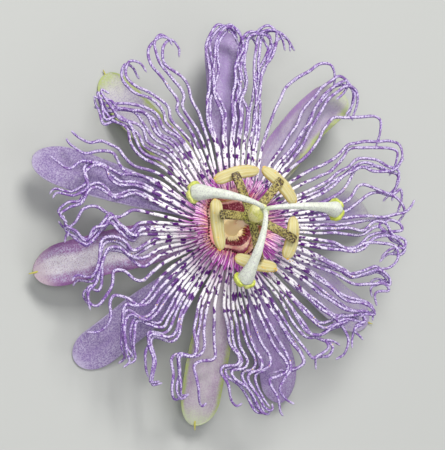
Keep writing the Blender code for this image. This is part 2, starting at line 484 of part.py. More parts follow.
def make_sepal(number, row, finish):
    """A boat-shaped sepal, with the short awn that its keel ends in."""
    share, across = blade_grid()
    under = blade_surface(
        SEPAL_ROOT_Z, row, SEPAL_ROOT_HALF_WIDTH, SEPAL_HALF_WIDTH, SEPAL_FULL_AT,
        SEPAL_EDGE_RISE, SEPAL_WAVE, share, across,
    )
    body = make_object(f"sepal_{number}", *blade_solid(under), finish)
    middle = under[:, BLADE_COLUMNS // 2, :]
    start = middle[-3] + np.array((0, 0, 0.4))
    out = middle[-1] - middle[-3]
    out[2] = max(out[2], -0.3)
    steps = np.array((0.0, 0.5, 1.0, 1.3))[:, None]
    awn = start + steps * out
    awn[:, 2] += -0.12 * steps[:, 0]
    awn[:, 2] = np.maximum(awn[:, 2], 0.35)
    points, faces = sweep(awn, AWN_RADIUS, AWN_RADIUS, ring_section(5))
    join(f"sepal_{number}", body, [make_object("awn", points, faces, finish)], finish)
    smooth(body)


def make_petal(number, row, finish):
    """A thinner-looking, wavier blade, seated above the sepals."""
    share, across = blade_grid()
    under = blade_surface(
        PETAL_ROOT_Z, row, PETAL_ROOT_HALF_WIDTH, PETAL_HALF_WIDTH, PETAL_FULL_AT,
        PETAL_EDGE_RISE, PETAL_WAVE, share, across,
    )
    smooth(make_object(f"petal_{number}", *blade_solid(under), finish))


# ---------------------------------------------------------------- corona


def through(points, step):
    """A smooth line through the points, as a Catmull-Rom spline, cut into steps of equal length."""
    points = np.concatenate(([2 * points[0] - points[1]], points, [2 * points[-1] - points[-2]]))
    t = np.linspace(0, 1, 24, endpoint=False)[:, None]
    pieces = []
    for a, b, c, d in zip(points, points[1:], points[2:], points[3:]):
        m0, m1 = (c - a) / 2, (d - b) / 2
        reach = np.linalg.norm(c - b)
        m0 = m0 * min(1, 1.1 * reach / max(np.linalg.norm(m0), 1e-6))
        m1 = m1 * min(1, 1.1 * reach / max(np.linalg.norm(m1), 1e-6))
        pieces.append(
            b * (2 * t**3 - 3 * t**2 + 1) + m0 * (t**3 - 2 * t**2 + t) + c * (3 * t**2 - 2 * t**3) + m1 * (t**3 - t**2)
        )
    line = np.concatenate(pieces + [points[-2:-1]])
    at = length_along(line)
    even = np.arange(0, at[-1], step)
    return np.stack([np.interp(even, at, line[:, k]) for k in range(line.shape[1])], axis=1)


def length_along(line):
    return np.concatenate(([0], np.cumsum(np.linalg.norm(np.diff(line, axis=0), axis=1))))


def corona_lines():
    """The line of every long filament as (reach, direction) points, and whether it leads its tuft.

    The roots are spaced evenly round the ring, in the same order as the tufts. Each filament then leans
    over to its tuft and follows the tuft's line, beside its neighbours.
    """
    lines = []
    for count, guide in TUFTS:
        guide = np.array(guide)
        along = (guide[:, 0] - guide[0, 0]) / (guide[:, 0].max() - guide[0, 0])
        pitch = TUFT_PITCH * (1 - (1 - TIP_PITCH) * np.clip(along, 0, 1))
        for n in range(count):
            line = guide.copy()
            line[:, 1] += (n - (count - 1) / 2) * pitch
            lines.append((line, n == 0))
    lines.sort(key=lambda entry: entry[0][0, 1])
    first = np.array([line[0, 1] for line, _ in lines])
    even = 360 / len(lines) * np.arange(len(lines))
    roots = even + np.mean(first - even)
    return [
        (np.concatenate((((CORONA_ROOT_R, root), (9.5, root + 0.35 * (line[0, 1] - root))), line)), leads)
        for root, (line, leads) in zip(roots, lines)
    ]


def corona_paths(every=True, step=0.2):
    """Centre lines of the long filaments in space, each cut into equal steps.

    Each one is varied a little on its own: in length, and by a slow sideways and upward sway.
    Without every, only the filament that leads each tuft is given.
    """
    paths = []
    for n, (line, leads) in enumerate(corona_lines()):
        if not (every or leads):
            continue
        own = np.random.default_rng((CORONA_SEED, n)).uniform(-1, 1, 8)
        reach = CORONA_ROOT_R + (line[:, 0] - CORONA_ROOT_R) * (1 + LENGTH_VARIES * own[0])
        turn = np.radians(line[:, 1])
        flat = through(np.stack((reach * np.cos(turn), reach * np.sin(turn)), axis=1), step)
        travelled = step * np.arange(len(flat))
        along = np.gradient(flat, axis=0) / step
        beside = np.stack((-along[:, 1], along[:, 0]), axis=1)
        grow = ease((travelled - 6) / 14)
        sway = np.sin(travelled / (1.1 + 0.25 * own[1]) + 3 * own[2]) + 0.4 * np.sin(travelled / 0.7 + 3 * own[3])
        flat = flat + (SWAY_ASIDE * grow * sway)[:, None] * beside
        root_z = ROW_Z[n % 2]
        tip_z = TIP_Z + ROW_APART * (n % 2) + 0.3 * own[4]
        tip_z += TIP_TILT_Z * math.cos(math.radians(line[-1, 1] - TIP_TILT_TO))
        share = travelled / travelled[-1]
        z = root_z + (tip_z - root_z) * share**1.5
        z = z + SWAY_UP * grow * np.sin(travelled / (1.3 + 0.3 * own[5]) + 3 * own[6])
        z = z - TIP_DROP * (1 + own[7]) * ease((travelled - travelled[-1] + 5) / 5)
        paths.append(np.concatenate((flat, z[:, None]), axis=1))
    return paths


def thinned(path, points):
    """The same path with few points, closer together where it bends."""
    along = np.diff(path, axis=0)
    along /= np.linalg.norm(along, axis=1)[:, None]
    bend = np.arccos(np.clip(np.sum(along[1:] * along[:-1], axis=1), -1, 1))
    bend = np.concatenate(([0], bend, [0]))
    weight = np.cumsum(0.045 + np.convolve(bend, np.ones(5) / 5, mode="same"))
    weight = (weight - weight[0]) / (weight[-1] - weight[0])
    at = np.linspace(0, 1, points)
    return np.stack([np.interp(at, weight, path[:, k]) for k in range(3)], axis=1)


def filament_radius(path):
    """Stoutest in the banded part, thinner where it is crimped, and tapering to the hooked tip."""
    travelled = length_along(path)
    share = travelled / travelled[-1]
    swell = FILAMENT_SWELL * ease(travelled / 9) - FILAMENT_THINS * ease((travelled - 11) / 9)
    return FILAMENT_ROOT_R + swell - FILAMENT_TAPER * ease((share - 0.75) / 0.25)


def make_corona(finish):
    """Two rows of long filaments, grown from one ring."""
    profile = (
        (CUP_BORE_R + 0.1, CORONA_FOOT_Z),
        (7.3, CORONA_FOOT_Z),
        (7.5, CORONA_FOOT_Z + 0.6),
        (7.0, CORONA_TOP_Z),
        (CUP_BORE_R + 0.1, CORONA_TOP_Z),
    )
    ring = make_object("corona", *turned(profile, 48), finish)
    three_sides = ring_section(3, math.radians(30)) * 1.25
    filaments = []
    for path in corona_paths(every=False):
        path = thinned(path, FILAMENT_POINTS)
        radius = filament_radius(path)
        points, faces = sweep(path, radius, radius, three_sides)
        filaments.append(make_object("filament", points, faces, None))
    join("corona", ring, filaments, finish, "MANIFOLD")


def make_short_corona(finish):
    """The ring of short filaments that stands inside the long ones."""
    profile = (
        (CUP_BORE_R, INNER_ROW_Z),
        (6.4, INNER_ROW_Z),
        (6.2, INNER_ROW_Z + 0.7),
        (CUP_BORE_R + 0.2, INNER_ROW_Z + 0.8),
    )
    ring = make_object("short_corona", *turned(profile, 36), finish)
    rng = np.random.default_rng(CORONA_SEED + 1)
    three_sides = ring_section(3, math.radians(30))
    filaments = []
    for i in range(SHORT_FILAMENTS):
        direction = 360 / SHORT_FILAMENTS * (i + rng.uniform(-0.2, 0.2))
        rise = math.radians(SHORT_RISE + rng.uniform(-5, 7))
        length = SHORT_LENGTH * rng.uniform(0.85, 1.05)
        start = polar(direction, SHORT_ROOT_R, INNER_ROW_Z + 0.4)
        end = polar(direction, SHORT_ROOT_R + length * math.cos(rise), start[2] + length * math.sin(rise))
        path = start + np.linspace(0, 1, 3)[:, None] * (end - start)
        points, faces = sweep(path, SHORT_RADIUS, SHORT_RADIUS, three_sides)
        filaments.append(make_object("filament", points, faces, None))
    join("short_corona", ring, filaments, finish)


def make_operculum(finish):
    """The pleated lid over the nectar: a ring that dips inwards to a frilled edge."""
    segments = 2 * PLEATS
    profile = (
        (5.05, 14.7, 0.0),
        (4.3, 14.55, 0.05),
        (3.6, 14.1, 0.12),
        (2.9, 13.5, 0.25),
        (2.9, 12.9, 0.25),
        (3.6, 13.45, 0.12),
        (4.3, 13.9, 0.05),
        (4.9, 13.8, 0.0),
    )
    count = len(profile)
    points, faces = [], []
    for i in range(segments):
        crest = 1 if i % 2 else -1
        for radius, z, pleat in profile:
            points.append(polar(360 * i / segments, radius + pleat * crest, z + 0.5 * pleat * crest))
    for i in range(segments):
        n = (i + 1) % segments
        for j in range(count):
            k = (j + 1) % count
            a, b, c, d = i * count + j, n * count + j, n * count + k, i * count + k
            faces += [(a, c, b), (a, d, c)]
    smooth(make_object("operculum", points, faces, finish), 35)


# ---------------------------------------------------------------- column, stamens, ovary and styles


def make_stamen_column(finish):
    """The column with its five flat stamen arms, which leave it like spokes."""
    heights = np.array((11.3, 12.0, 15.0, 19.0, 21.5, 22.6, HUB_Z))
    radii = COLUMN_R * np.array((1.3, 1.1, 1.0, 1.0, 1.1, 1.45, HUB_R / COLUMN_R))
    path = np.stack((np.zeros(7), np.zeros(7), heights), axis=1)
    points, faces = sweep(path, radii, radii, ring_section(16), up=(0, 1, 0))
    column = make_object("stamen_column", points, faces, finish)
    section = np.array(((-1, 0.1), (-0.7, 0.85), (0.7, 0.85), (1, 0.1), (0.7, -0.9), (-0.7, -0.9)))
    arms = []
    for direction, reach, z, _, _ in STAMENS:
        share = np.linspace(0, 1, 7)
        start = polar(direction, 0.4, HUB_Z - 0.55)
        shoulder = polar(direction, 3.2, HUB_Z + 0.35)
        bend = polar(direction, reach * 0.7, z + 0.35)
        path = bezier(start, shoulder, bend, polar(direction, reach, z), share)
        width = ARM_HALF_WIDTH * np.array((0.9, 0.95, 0.95, 1.0, 1.0, 0.95, 0.8))
        points, faces = sweep(path, width, np.full(7, ARM_HALF_THICK), section)
        arms.append(make_object("arm", points, faces, None))
    join("stamen_column", column, arms, finish)
    smooth(column)


def anther_path(stamen, share):
    """Middle line of an anther, hung under its arm's end and bowed out from the column."""
    _, _, arm_z, (reach_a, direction_a), (reach_b, direction_b) = stamen
    z = arm_z - ARM_HALF_THICK - GAP - ANTHER_HALF_THICK
    a, b = polar(direction_a, reach_a, z), polar(direction_b, reach_b, z)
    outward = (a + b) / 2 * np.array((1, 1, 0))
    outward /= np.linalg.norm(outward)
    bow = np.sin(math.pi * share)[:, None]
    return a + share[:, None] * (b - a) + outward * ANTHER_BOW * bow - np.array((0, 0, ANTHER_SAG)) * (1 - bow)


def make_anther(number, stamen, finish):
    """A long pollen case, grooved along its back and blunt at both ends."""
    share = np.linspace(0, 1, 9)
    path = anther_path(stamen, share)
    fullness = np.array((0.55, 0.85, 0.97, 1, 1, 1, 0.95, 0.8, 0.45))
    section = np.array((
        (-1, 0), (-0.8, 0.72), (-0.35, 1), (0, 0.8), (0.35, 1), (0.8, 0.72), (1, 0), (0.6, -0.85), (-0.6, -0.85),
    ))
    points, faces = sweep(path, ANTHER_HALF_WIDTH * fullness, ANTHER_HALF_THICK * fullness, section)
    smooth(make_object(f"anther_{number}", points, faces, finish))


def make_ovary(finish):
    """An egg on the column's top, between the stamens and the styles."""
    share = np.linspace(0.06, 1, 9)
    low, high = HUB_Z + GAP, STYLES_Z - 2.3
    heights = low + (high - low) * (1 - np.cos(math.pi * share)) / 2
    radii = OVARY_R * np.maximum(np.sin(math.pi * share), 0.2)
    path = np.stack((np.zeros(9), np.zeros(9), heights), axis=1)
    points, faces = sweep(path, radii, radii, ring_section(16), up=(0, 1, 0))
    smooth(make_object("ovary", points, faces, finish))


def style_path(style, share):
    """Up from the ovary, over, and down in an arch to the stigma."""
    direction, reach, arch_z, end_z = style
    foot = polar(direction, 0.35, STYLES_Z - 2.0)
    bend = polar(direction, 0.7, STYLES_Z + 0.6)
    arch = polar(direction, reach * 0.66, arch_z + 2.2)
    return bezier(foot, bend, arch, polar(direction, reach, end_z), share)


def make_styles(finish):
    """The three arms, grown together where they leave the ovary: thin there, and flared at the stigma."""
    arms = []
    for style in STYLES:
        share = np.linspace(0, 1, 11)
        radii = np.interp(share, STYLE_SHARES, STYLE_RADII)
        side = polar(style[0] + 90, 1, 0)
        points, faces = sweep(style_path(style, share), radii, radii, ring_section(10), up=side)
        arms.append(make_object("style", points, faces, None))
    smooth(join("styles", arms[0], arms[1:], finish))


def make_stigma(number, style, finish):
    """The kidney-shaped cap on a style's end, square to the style."""
    last = style_path(style, np.array((0.97, 1.0)))
    along = last[1] - last[0]
    along /= np.linalg.norm(along)
    across = polar(style[0] + 90, 1, 0)
    up = np.cross(across, along)
    depth = np.array((0, 0.15, 0.5, 0.85, 1.0)) * STIGMA_DEPTH
    swell = np.array((0.9, 1.0, 0.98, 0.75, 0.35))
    sides = 14
    angles = np.arange(sides) * 2 * math.pi / sides
    lobes = 1 + STIGMA_LOBES * np.cos(2 * angles)
    points = []
    for far, size in zip(depth, swell):
        middle = last[1] + along * (GAP + far)
        radius = (STIGMA_R * size * lobes)[:, None]
        points.append(middle + radius * (np.cos(angles)[:, None] * across + np.sin(angles)[:, None] * up))
    faces = tube_faces(len(depth), sides)
    smooth(make_object(f"stigma_{number}", np.concatenate(points), faces, finish))


def main():
    clear_scene()
    green = material("green_stem", (0.30, 0.42, 0.13), 0.55)
    leaf = material("green_bract", (0.22, 0.38, 0.10), 0.6)
    cup = material("calyx_green", (0.42, 0.50, 0.22), 0.55)
    sepal = material("sepal_lilac_white", (0.66, 0.60, 0.70), 0.6)
    petal = material("petal_lavender", (0.45, 0.34, 0.66), 0.6)
    banded = material("corona_banded", (0.58, 0.42, 0.78), 0.5)
    magenta = material("corona_magenta", (0.62, 0.18, 0.42), 0.5)
    maroon = material("operculum_maroon", (0.36, 0.05, 0.12), 0.45)
    mottled = material("stamen_green", (0.42, 0.42, 0.14), 0.5)
    cream = material("anther_cream", (0.90, 0.80, 0.42), 0.6)
    ovary = material("ovary_green", (0.66, 0.70, 0.28), 0.45)
    white = material("style_white", (0.82, 0.84, 0.74), 0.5)
    lime = material("stigma_lime", (0.72, 0.76, 0.16), 0.45)
    make_stem(green)
    for number, direction in enumerate(BRACT_DIRECTIONS, 1):
        make_bract(number, direction, leaf)
    make_cup(cup)
    for number, row in enumerate(SEPALS, 1):
        make_sepal(number, row, sepal)
    for number, row in enumerate(PETALS, 1):
        make_petal(number, row, petal)
    make_corona(banded)
    make_short_corona(magenta)
    make_operculum(maroon)
    make_stamen_column(mottled)
    for number, stamen in enumerate(STAMENS, 1):
        make_anther(number, stamen, cream)
    make_ovary(ovary)
    make_styles(white)
    for number, style in enumerate(STYLES, 1):
        make_stigma(number, style, lime)


main()
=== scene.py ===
# %% [markdown]
# # A passion flower
# A passion flower is built in storeys on one upright axis. From the bottom there is a cut stem with
# three small bracts, a green cup, five sepals and five petals, a corona of about a hundred long
# crimped filaments, a ring of short ones, a frilled lid over the nectar, and a column that lifts five
# stamens, the ovary and three styles well clear of the rest.
# The solid model fixes where everything is. This script dresses it: each piece is a surface worked out
# with numpy on a grid, and each finish is a node material.

# %% Load the solid model
import math

import bpy
import numpy as np
from mathutils import Matrix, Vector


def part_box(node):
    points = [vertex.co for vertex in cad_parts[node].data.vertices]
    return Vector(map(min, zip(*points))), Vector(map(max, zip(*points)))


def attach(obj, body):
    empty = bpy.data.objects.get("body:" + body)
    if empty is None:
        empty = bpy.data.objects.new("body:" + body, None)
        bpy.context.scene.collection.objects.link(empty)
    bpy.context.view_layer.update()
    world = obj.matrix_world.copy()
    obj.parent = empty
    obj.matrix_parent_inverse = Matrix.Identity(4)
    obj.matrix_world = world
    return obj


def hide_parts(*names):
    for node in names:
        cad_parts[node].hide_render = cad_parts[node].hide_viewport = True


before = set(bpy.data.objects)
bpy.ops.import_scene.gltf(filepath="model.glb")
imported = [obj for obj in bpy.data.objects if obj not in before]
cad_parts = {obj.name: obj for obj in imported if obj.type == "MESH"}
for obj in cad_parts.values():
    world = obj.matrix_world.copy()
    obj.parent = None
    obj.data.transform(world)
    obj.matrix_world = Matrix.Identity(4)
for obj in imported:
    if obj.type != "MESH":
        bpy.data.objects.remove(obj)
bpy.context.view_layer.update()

print("nodes:", len(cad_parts))

# %% [markdown]
# The sizes are written in millimetres from the flower's own axis, because a flower is easiest to
# describe as directions and reaches from its middle. The solids aren't centred on that axis, since the
# sepals and petals differ in length. The ovary stands on the axis, so the middle of its box says where
# the axis is, and one shift brings every piece into place.

# %% Find the flower's axis
MM = 0.001
ovary_low, ovary_high = (np.array(corner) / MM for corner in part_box("ovary"))
AXIS_AT = (ovary_low + ovary_high) / 2 * np.array((1, 1, 0))
print("axis at", AXIS_AT.round(2), "mm")

# %% [markdown]
# A few small helpers come first. `ease` is the gentle ramp that keeps one form from breaking sharply
# into the next. `bezier` draws a curve from four points, as a draughtsman's spline does, and `carried`
# takes a section along it, which is how a stem, a filament or a stamen is grown.

# %% Curves and sections


def ease(x):
    """3x² - 2x³ between 0 and 1, held at 0 below and at 1 above."""
    x = np.clip(x, 0, 1)
    return x * x * (3 - 2 * x)


def polar(direction, reach, z):
    """(reach cos direction, reach sin direction, z), for a direction in degrees."""
    turn = math.radians(direction)
    return np.array((reach * math.cos(turn), reach * math.sin(turn), z))


def bezier(a, b, c, d, t):
    """(1-t)³a + 3t(1-t)²b + 3t²(1-t)c + t³d."""
    t = np.asarray(t)[:, None]
    return a * (1 - t) ** 3 + 3 * b * t * (1 - t) ** 2 + 3 * c * t**2 * (1 - t) + d * t**3


def length_along(line):
    """The sum of the steps up to each point of the line."""
    return np.concatenate(([0], np.cumsum(np.linalg.norm(np.diff(line, axis=0), axis=1))))


def unit(vectors):
    """Each vector divided by its own length."""
    return vectors / np.linalg.norm(vectors, axis=-1, keepdims=True)


def carried(paths, section, wide, high, up=(0, 0, 1)):
    """path + wide x section's first number x side + high x its second x top, on every ring.

    The side is the cross product of the path's direction and up, and the top is square to both.
    """
    along = unit(np.gradient(paths, axis=1))
    side = unit(np.cross(along, up))
    top = np.cross(side, along)
    aside = (np.asarray(wide)[..., None] * section[..., 0])[..., None] * side[:, :, None]
    above = (np.asarray(high)[..., None] * section[..., 1])[..., None] * top[:, :, None]
    return paths[:, :, None] + aside + above


def turns(count):
    """Equal steps once round, in radians."""
    return np.arange(count) * 2 * math.pi / count


def around_axis(reach, turn, z):
    """(reach cos turn, reach sin turn, z), for whole arrays."""
    return np.stack(np.broadcast_arrays(reach * np.cos(turn), reach * np.sin(turn), z), axis=-1)


def round_section(sides):
    """(cos, sin) of equal steps round a circle."""
    return np.stack((np.cos(turns(sides)), np.sin(turns(sides))), axis=1)


def waves(x, y, seed, count=5):
    """The sum of a few sines over the root of their count, each with a random direction, pitch and start."""
    rng = np.random.default_rng(seed)
    turn, pitch, start = rng.uniform(0, 2 * math.pi, (3, count, *(1,) * np.ndim(x)))
    pitch = 0.6 + 0.2 * pitch
    phase = pitch * (x * np.cos(turn) + y * np.sin(turn)) * 2 + start * 3
    return np.sin(phase).sum(axis=0) / math.sqrt(count)


print("ease(0.25) =", ease(0.25))

# %% [markdown]
# Nearly every part of a flower is a tube of some kind, even a petal, whose section is a thin flat
# loop. So one function makes the faces for all of them: quads between neighbouring points, and a fan
# of triangles to a middle point at each end, so that nothing is left open.
# A piece also carries values on its points, such as how far along a filament a point is. The
# materials read those, and so their patterns follow the surface.

# %% Turn grids of points into pieces


def skin(grid, **values):
    """Faces over (tube, ring, place) points: each place joins the next one round and the next ring.

    The middle of each end ring is the mean of its points, and closes it.
    """
    tubes, rings, sides = grid.shape[:3]
    number = np.arange(tubes * rings * sides).reshape(tubes, rings, sides)
    beside = np.roll(number, -1, axis=2)
    quads = np.stack((number[:, :-1], beside[:, :-1], beside[:, 1:], number[:, 1:]), axis=-1)
    hub = number.size + 2 * np.arange(tubes)[:, None] + np.zeros((1, sides), int)
    starts = np.stack((beside[:, 0], number[:, 0], hub), axis=-1)
    stops = np.stack((number[:, -1], beside[:, -1], hub + 1), axis=-1)

    def with_ends(field):
        """The field on every point, with the mean of each end ring for that ring's middle point."""
        field = np.broadcast_to(field, (tubes, rings, sides) + np.shape(field)[3:])
        depth = field.shape[3:]
        return np.concatenate((field.reshape(-1, *depth), field[:, (0, -1)].mean(axis=2).reshape(-1, *depth)))

    return {
        "points": with_ends(grid),
        "quads": quads.reshape(-1, 4),
        "triangles": np.concatenate((starts.reshape(-1, 3), stops.reshape(-1, 3))),
        "values": {name: with_ends(np.asarray(field, float)) for name, field in values.items()},
    }


def merged(parts):
    """The parts one after another, each part's faces counted on from the points before it."""
    before = np.cumsum([0] + [len(part["points"]) for part in parts])
    whole = {"points": np.concatenate([part["points"] for part in parts])}
    for kind in ("quads", "triangles"):
        whole[kind] = np.concatenate([part[kind] + first for part, first in zip(parts, before)])
    names = parts[0]["values"]
    whole["values"] = {name: np.concatenate([part["values"][name] for part in parts]) for name in names}
    return whole


def volume(points, quads, triangles):
    """A sixth of the sum of a . (b x c) over the triangles, which is positive where faces point outwards."""
    corners = np.concatenate((quads[:, (0, 1, 2)], quads[:, (0, 2, 3)], triangles))
    a, b, c = (points[corners[:, k]] for k in range(3))
    return np.einsum("ij,ij->", a, np.cross(b, c)) / 6


def piece(name, shape, finish, slot, *replaced, sharp=None):
    """One finished object from a shape in millimetres, riding with the flower."""
    points, quads, triangles = shape["points"], shape["quads"], shape["triangles"]
    held = volume(points, quads, triangles)
    if held < 0:
        quads, triangles = quads[:, ::-1], triangles[:, ::-1]
    sizes = np.repeat((4, 3), (len(quads), len(triangles)))
    corners = np.concatenate((quads.ravel(), triangles.ravel())).astype(np.int32)
    mesh = bpy.data.meshes.new(name)
    mesh.vertices.add(len(points))
    mesh.vertices.foreach_set("co", ((points + AXIS_AT) * MM).ravel())
    mesh.loops.add(len(corners))
    mesh.loops.foreach_set("vertex_index", corners)
    mesh.polygons.add(len(sizes))
    mesh.polygons.foreach_set("loop_start", (np.cumsum(sizes) - sizes).astype(np.int32))
    mesh.update(calc_edges=True)
    mesh.validate()
    mesh.shade_smooth()
    if sharp:
        mesh.set_sharp_from_angle(angle=math.radians(sharp))
    for key, field in shape["values"].items():
        kind = "FLOAT_VECTOR" if field.ndim == 2 else "FLOAT"
        layer = mesh.attributes.new(key, kind, "POINT")
        layer.data.foreach_set("vector" if field.ndim == 2 else "value", field.astype(np.float32).ravel())
    mesh.materials.append(finish)
    obj = bpy.data.objects.new(name, mesh)
    bpy.context.scene.collection.objects.link(obj)
    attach(obj, "root")
    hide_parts(*replaced)
    print(f"{name}: {2 * len(quads) + len(triangles)} triangles, {abs(held):.1f} mm³")
    return obj


# %% [markdown]
# Each finish is a small tree of nodes that ends in one Principled shader. A recipe keeps that short:
# every call adds one node and gives back the socket it puts out, so that a finish reads from top to
# bottom like a paint mixer's card.

# %% A short way to write a material


class Recipe:
    """The nodes of one finish."""

    def __init__(self, name, roughness, **more):
        self.material = bpy.data.materials.new(name)
        self.material.use_nodes = True
        self.tree = self.material.node_tree
        self.shader = self.tree.nodes["Principled BSDF"]
        self.shader.inputs["Roughness"].default_value = roughness
        for socket, value in more.items():
            self.shader.inputs[socket.replace("_", " ")].default_value = value
        self.place = self.node("ShaderNodeTexCoord", {}, out="Object")

    def node(self, kind, inputs, out=0, **settings):
        """Adds a node; an input is a number, a colour or what another node puts out."""
        made = self.tree.nodes.new(kind)
        for setting, value in settings.items():
            setattr(made, setting, value)
        for key, value in inputs.items():
            self.put(made.inputs[key], value)
        return made.outputs[out]

    def put(self, socket, value):
        """Joins another node's socket to this one, or sets the number or colour."""
        if isinstance(value, bpy.types.NodeSocket):
            self.tree.links.new(value, socket)
        elif isinstance(value, tuple) and socket.type == "RGBA":
            socket.default_value = (*value, 1)
        else:
            socket.default_value = value

    def value(self, name):
        """The number kept on the points under that name."""
        return self.node("ShaderNodeAttribute", {}, out="Fac", attribute_name=name)

    def vector(self, name, stretch=(1, 1, 1)):
        """The three numbers kept on the points under that name, each times its stretch."""
        found = self.node("ShaderNodeAttribute", {}, out="Vector", attribute_name=name)
        return self.node("ShaderNodeVectorMath", {0: found, 1: stretch}, operation="MULTIPLY")

    def noise(self, where, scale, detail=2.0, rough=0.5):
        """An uneven field round 0.5, with scale lumps to the unit and detail finer layers."""
        sockets = {"Vector": where, "Scale": scale, "Detail": detail, "Roughness": rough}
        return self.node("ShaderNodeTexNoise", sockets)

    def cells(self, where, scale):
        """The distance to the nearest of many scattered points."""
        return self.node("ShaderNodeTexVoronoi", {"Vector": where, "Scale": scale}, out="Distance")

    def calc(self, operation, a, b=0.0):
        """The operation on a and b."""
        return self.node("ShaderNodeMath", {0: a, 1: b}, operation=operation)

    def times(self, a, b):
        """a b."""
        return self.calc("MULTIPLY", a, b)

    def plus(self, a, b, share=1.0, middle=0.0):
        """a + share (b - middle)."""
        if middle:
            b = self.calc("SUBTRACT", b, middle)
        return self.calc("ADD", a, b if share == 1.0 else self.times(b, share))

    def ramp(self, value, low, high, to_low=0.0, to_high=1.0):
        """A smooth step from to_low, where the value is low, to to_high, where it is high."""
        sockets = {"Value": value, 1: low, 2: high, 3: to_low, 4: to_high}
        return self.node("ShaderNodeMapRange", sockets, interpolation_type="SMOOTHSTEP")

    def curve(self, value, span, stops):
        """A height for each value from 0 to span, in straight lines between the (value, height) stops."""
        ramp = self.tree.nodes.new("ShaderNodeValToRGB")
        self.put(ramp.inputs[0], self.calc("DIVIDE", value, span))
        band = ramp.color_ramp
        for n, (at, height) in enumerate(stops):
            stop = band.elements[n] if n < 2 else band.elements.new(at / span)
            stop.position = at / span
            stop.color = (height, height, height, 1)
        return ramp.outputs[0]

    def mix(self, share, a, b):
        """(1 - share) a + share b, for colours."""
        return self.node("ShaderNodeMix", {0: share, 6: a, 7: b}, out=2, data_type="RGBA")

    def done(self, colour, height=None, depth=0.0, strength=1.0):
        """Sets the colour, and a relief of that depth in millimetres from the height."""
        self.put(self.shader.inputs["Base Color"], colour)
        if height is not None:
            sockets = {"Height": height, "Distance": depth * MM, "Strength": strength}
            self.put(self.shader.inputs["Normal"], self.node("ShaderNodeBump", sockets))
        return self.material


print("recipe ready")

# %% [markdown]
# Sepals and petals look alike here, but they aren't. A sepal is boat-shaped and tough, green
# outside, with a keel that ends in a short horn behind its tip. A petal is thinner, wavier and
# coloured on both sides. Both leave the cup level and bend back and down, and three of the ten rest
# on the ground with their tips. They could be cut from a plane and sculpted, but a formula keeps all
# ten of a family: a bent middle line, a width along it, and a rise towards the edges.

# %% The bent-back surface of a blade
GAP = 0.3
CUP_R = 6.2
BLADE_ROOT_R = CUP_R + GAP
BLADE_THICK = 0.75  # of the solid, measured upright
PRESSED_FLAT = 0.4  # how far a tip that bears the flower is pressed in
SEPAL_ROOT_Z = 11.8
PETAL_ROOT_Z = 12.75
# Half width at the root, the widest half width, where that is reached, rise of the edges, their ripple
SEPAL_SHAPE = (2.3, 3.95, 0.36, 0.9, 0.25)
PETAL_SHAPE = (1.45, 3.8, 0.55, -0.35, 0.45)
TIP_FROM = 0.8  # the share of a blade's length where its tip starts to round off
# Direction, reach of the tip from the axis, height of the tip, sideways sweep
SEPALS = (
    (181.3, 37.5, 0.0, 0.6),
    (252.4, 36.3, 3.0, -0.2),
    (321.8, 35.9, 3.0, -1.0),
    (36.0, 36.5, 0.0, -0.4),
    (107.6, 39.6, 8.0, 2.0),
)
PETALS = (
    (220.2, 38.4, 6.5, 0.0),
    (281.8, 35.8, 0.0, 0.8),
    (353.8, 33.7, 2.0, -0.3),
    (72.0, 34.2, 2.0, 0.4),
    (146.8, 40.0, 8.0, 1.0),
)


def blade_half_width(share, root, widest, full_at):
    """Eases from the root's width to the widest, then follows a quarter of an ellipse round the tip."""
    body = root + (widest - root) * ease(share / full_at)
    round_off = np.sqrt(np.clip(1 - ((share - TIP_FROM) / (1.001 - TIP_FROM)) ** 2, 0.0004, 1))
    return body * np.where(share > TIP_FROM, round_off, 1)


def blade_line(root_z, reach, tip_z, share):
    """Reach and height of the middle line: a Bezier curve, level at the root and falling to the tip."""
    start, tip = np.array((BLADE_ROOT_R, root_z)), np.array((reach, tip_z))
    span = reach - BLADE_ROOT_R
    leave = start + np.array((0.38 * span, 0.0))
    if tip_z == 0:
        tip[1] = -PRESSED_FLAT
        arrive = tip - np.array((0.30 * span, 0.0))
    else:
        arrive = tip + np.array((-0.28 * span, 0.2 * span * (root_z - tip_z) / root_z + 1.2))
    return bezier(start, leave, arrive, tip, share)


def blade_surface(root_z, row, shape, share, across):
    """Middle line + across x half width sideways, raised by across² x rise and rippled at the edges."""
    direction, reach, tip_z, sideways = row
    root_half, widest, full_at, edge_rise, wave = shape
    line = blade_line(root_z, reach, tip_z, share)
    width = blade_half_width(share, root_half, widest, full_at)
    turn = math.radians(direction)
    out = np.array((math.cos(turn), math.sin(turn)))
    side = np.array((-math.sin(turn), math.cos(turn)))
    offset = (sideways * np.sin(math.pi * share))[:, None] + width[:, None] * across[None, :]
    plan = line[:, 0, None, None] * out + offset[:, :, None] * side
    grow = ease((share - 0.1) / 0.35)
    rise = edge_rise * (grow * width / widest)[:, None] * across[None, :] ** 2
    start = 0.31 * np.sign(across)[None, :] + direction / 57
    ripple = np.sin(2 * math.pi * (2.3 * share[:, None] + start))
    rise = rise + wave * grow[:, None] * np.abs(across)[None, :] ** 3 * ripple
    z = np.maximum(line[:, 1, None] + rise, 0)
    return np.concatenate((plan, z[:, :, None]), axis=2)


reaches = [row[1] for row in SEPALS + PETALS]
print("ten blades, whose tips are", min(reaches), "to", max(reaches), "mm from the axis")

# %% [markdown]
# The solid blades are plates of one thickness. A real blade is thickest along its middle and thin as
# paper at its edge, its face is raised in fine lengthwise veins, and it is never quite smooth. Here
# the upper and lower faces are set off from the middle surface along its normal, and one loop round
# both makes the section. The sepal's lower face also swells into the keel.

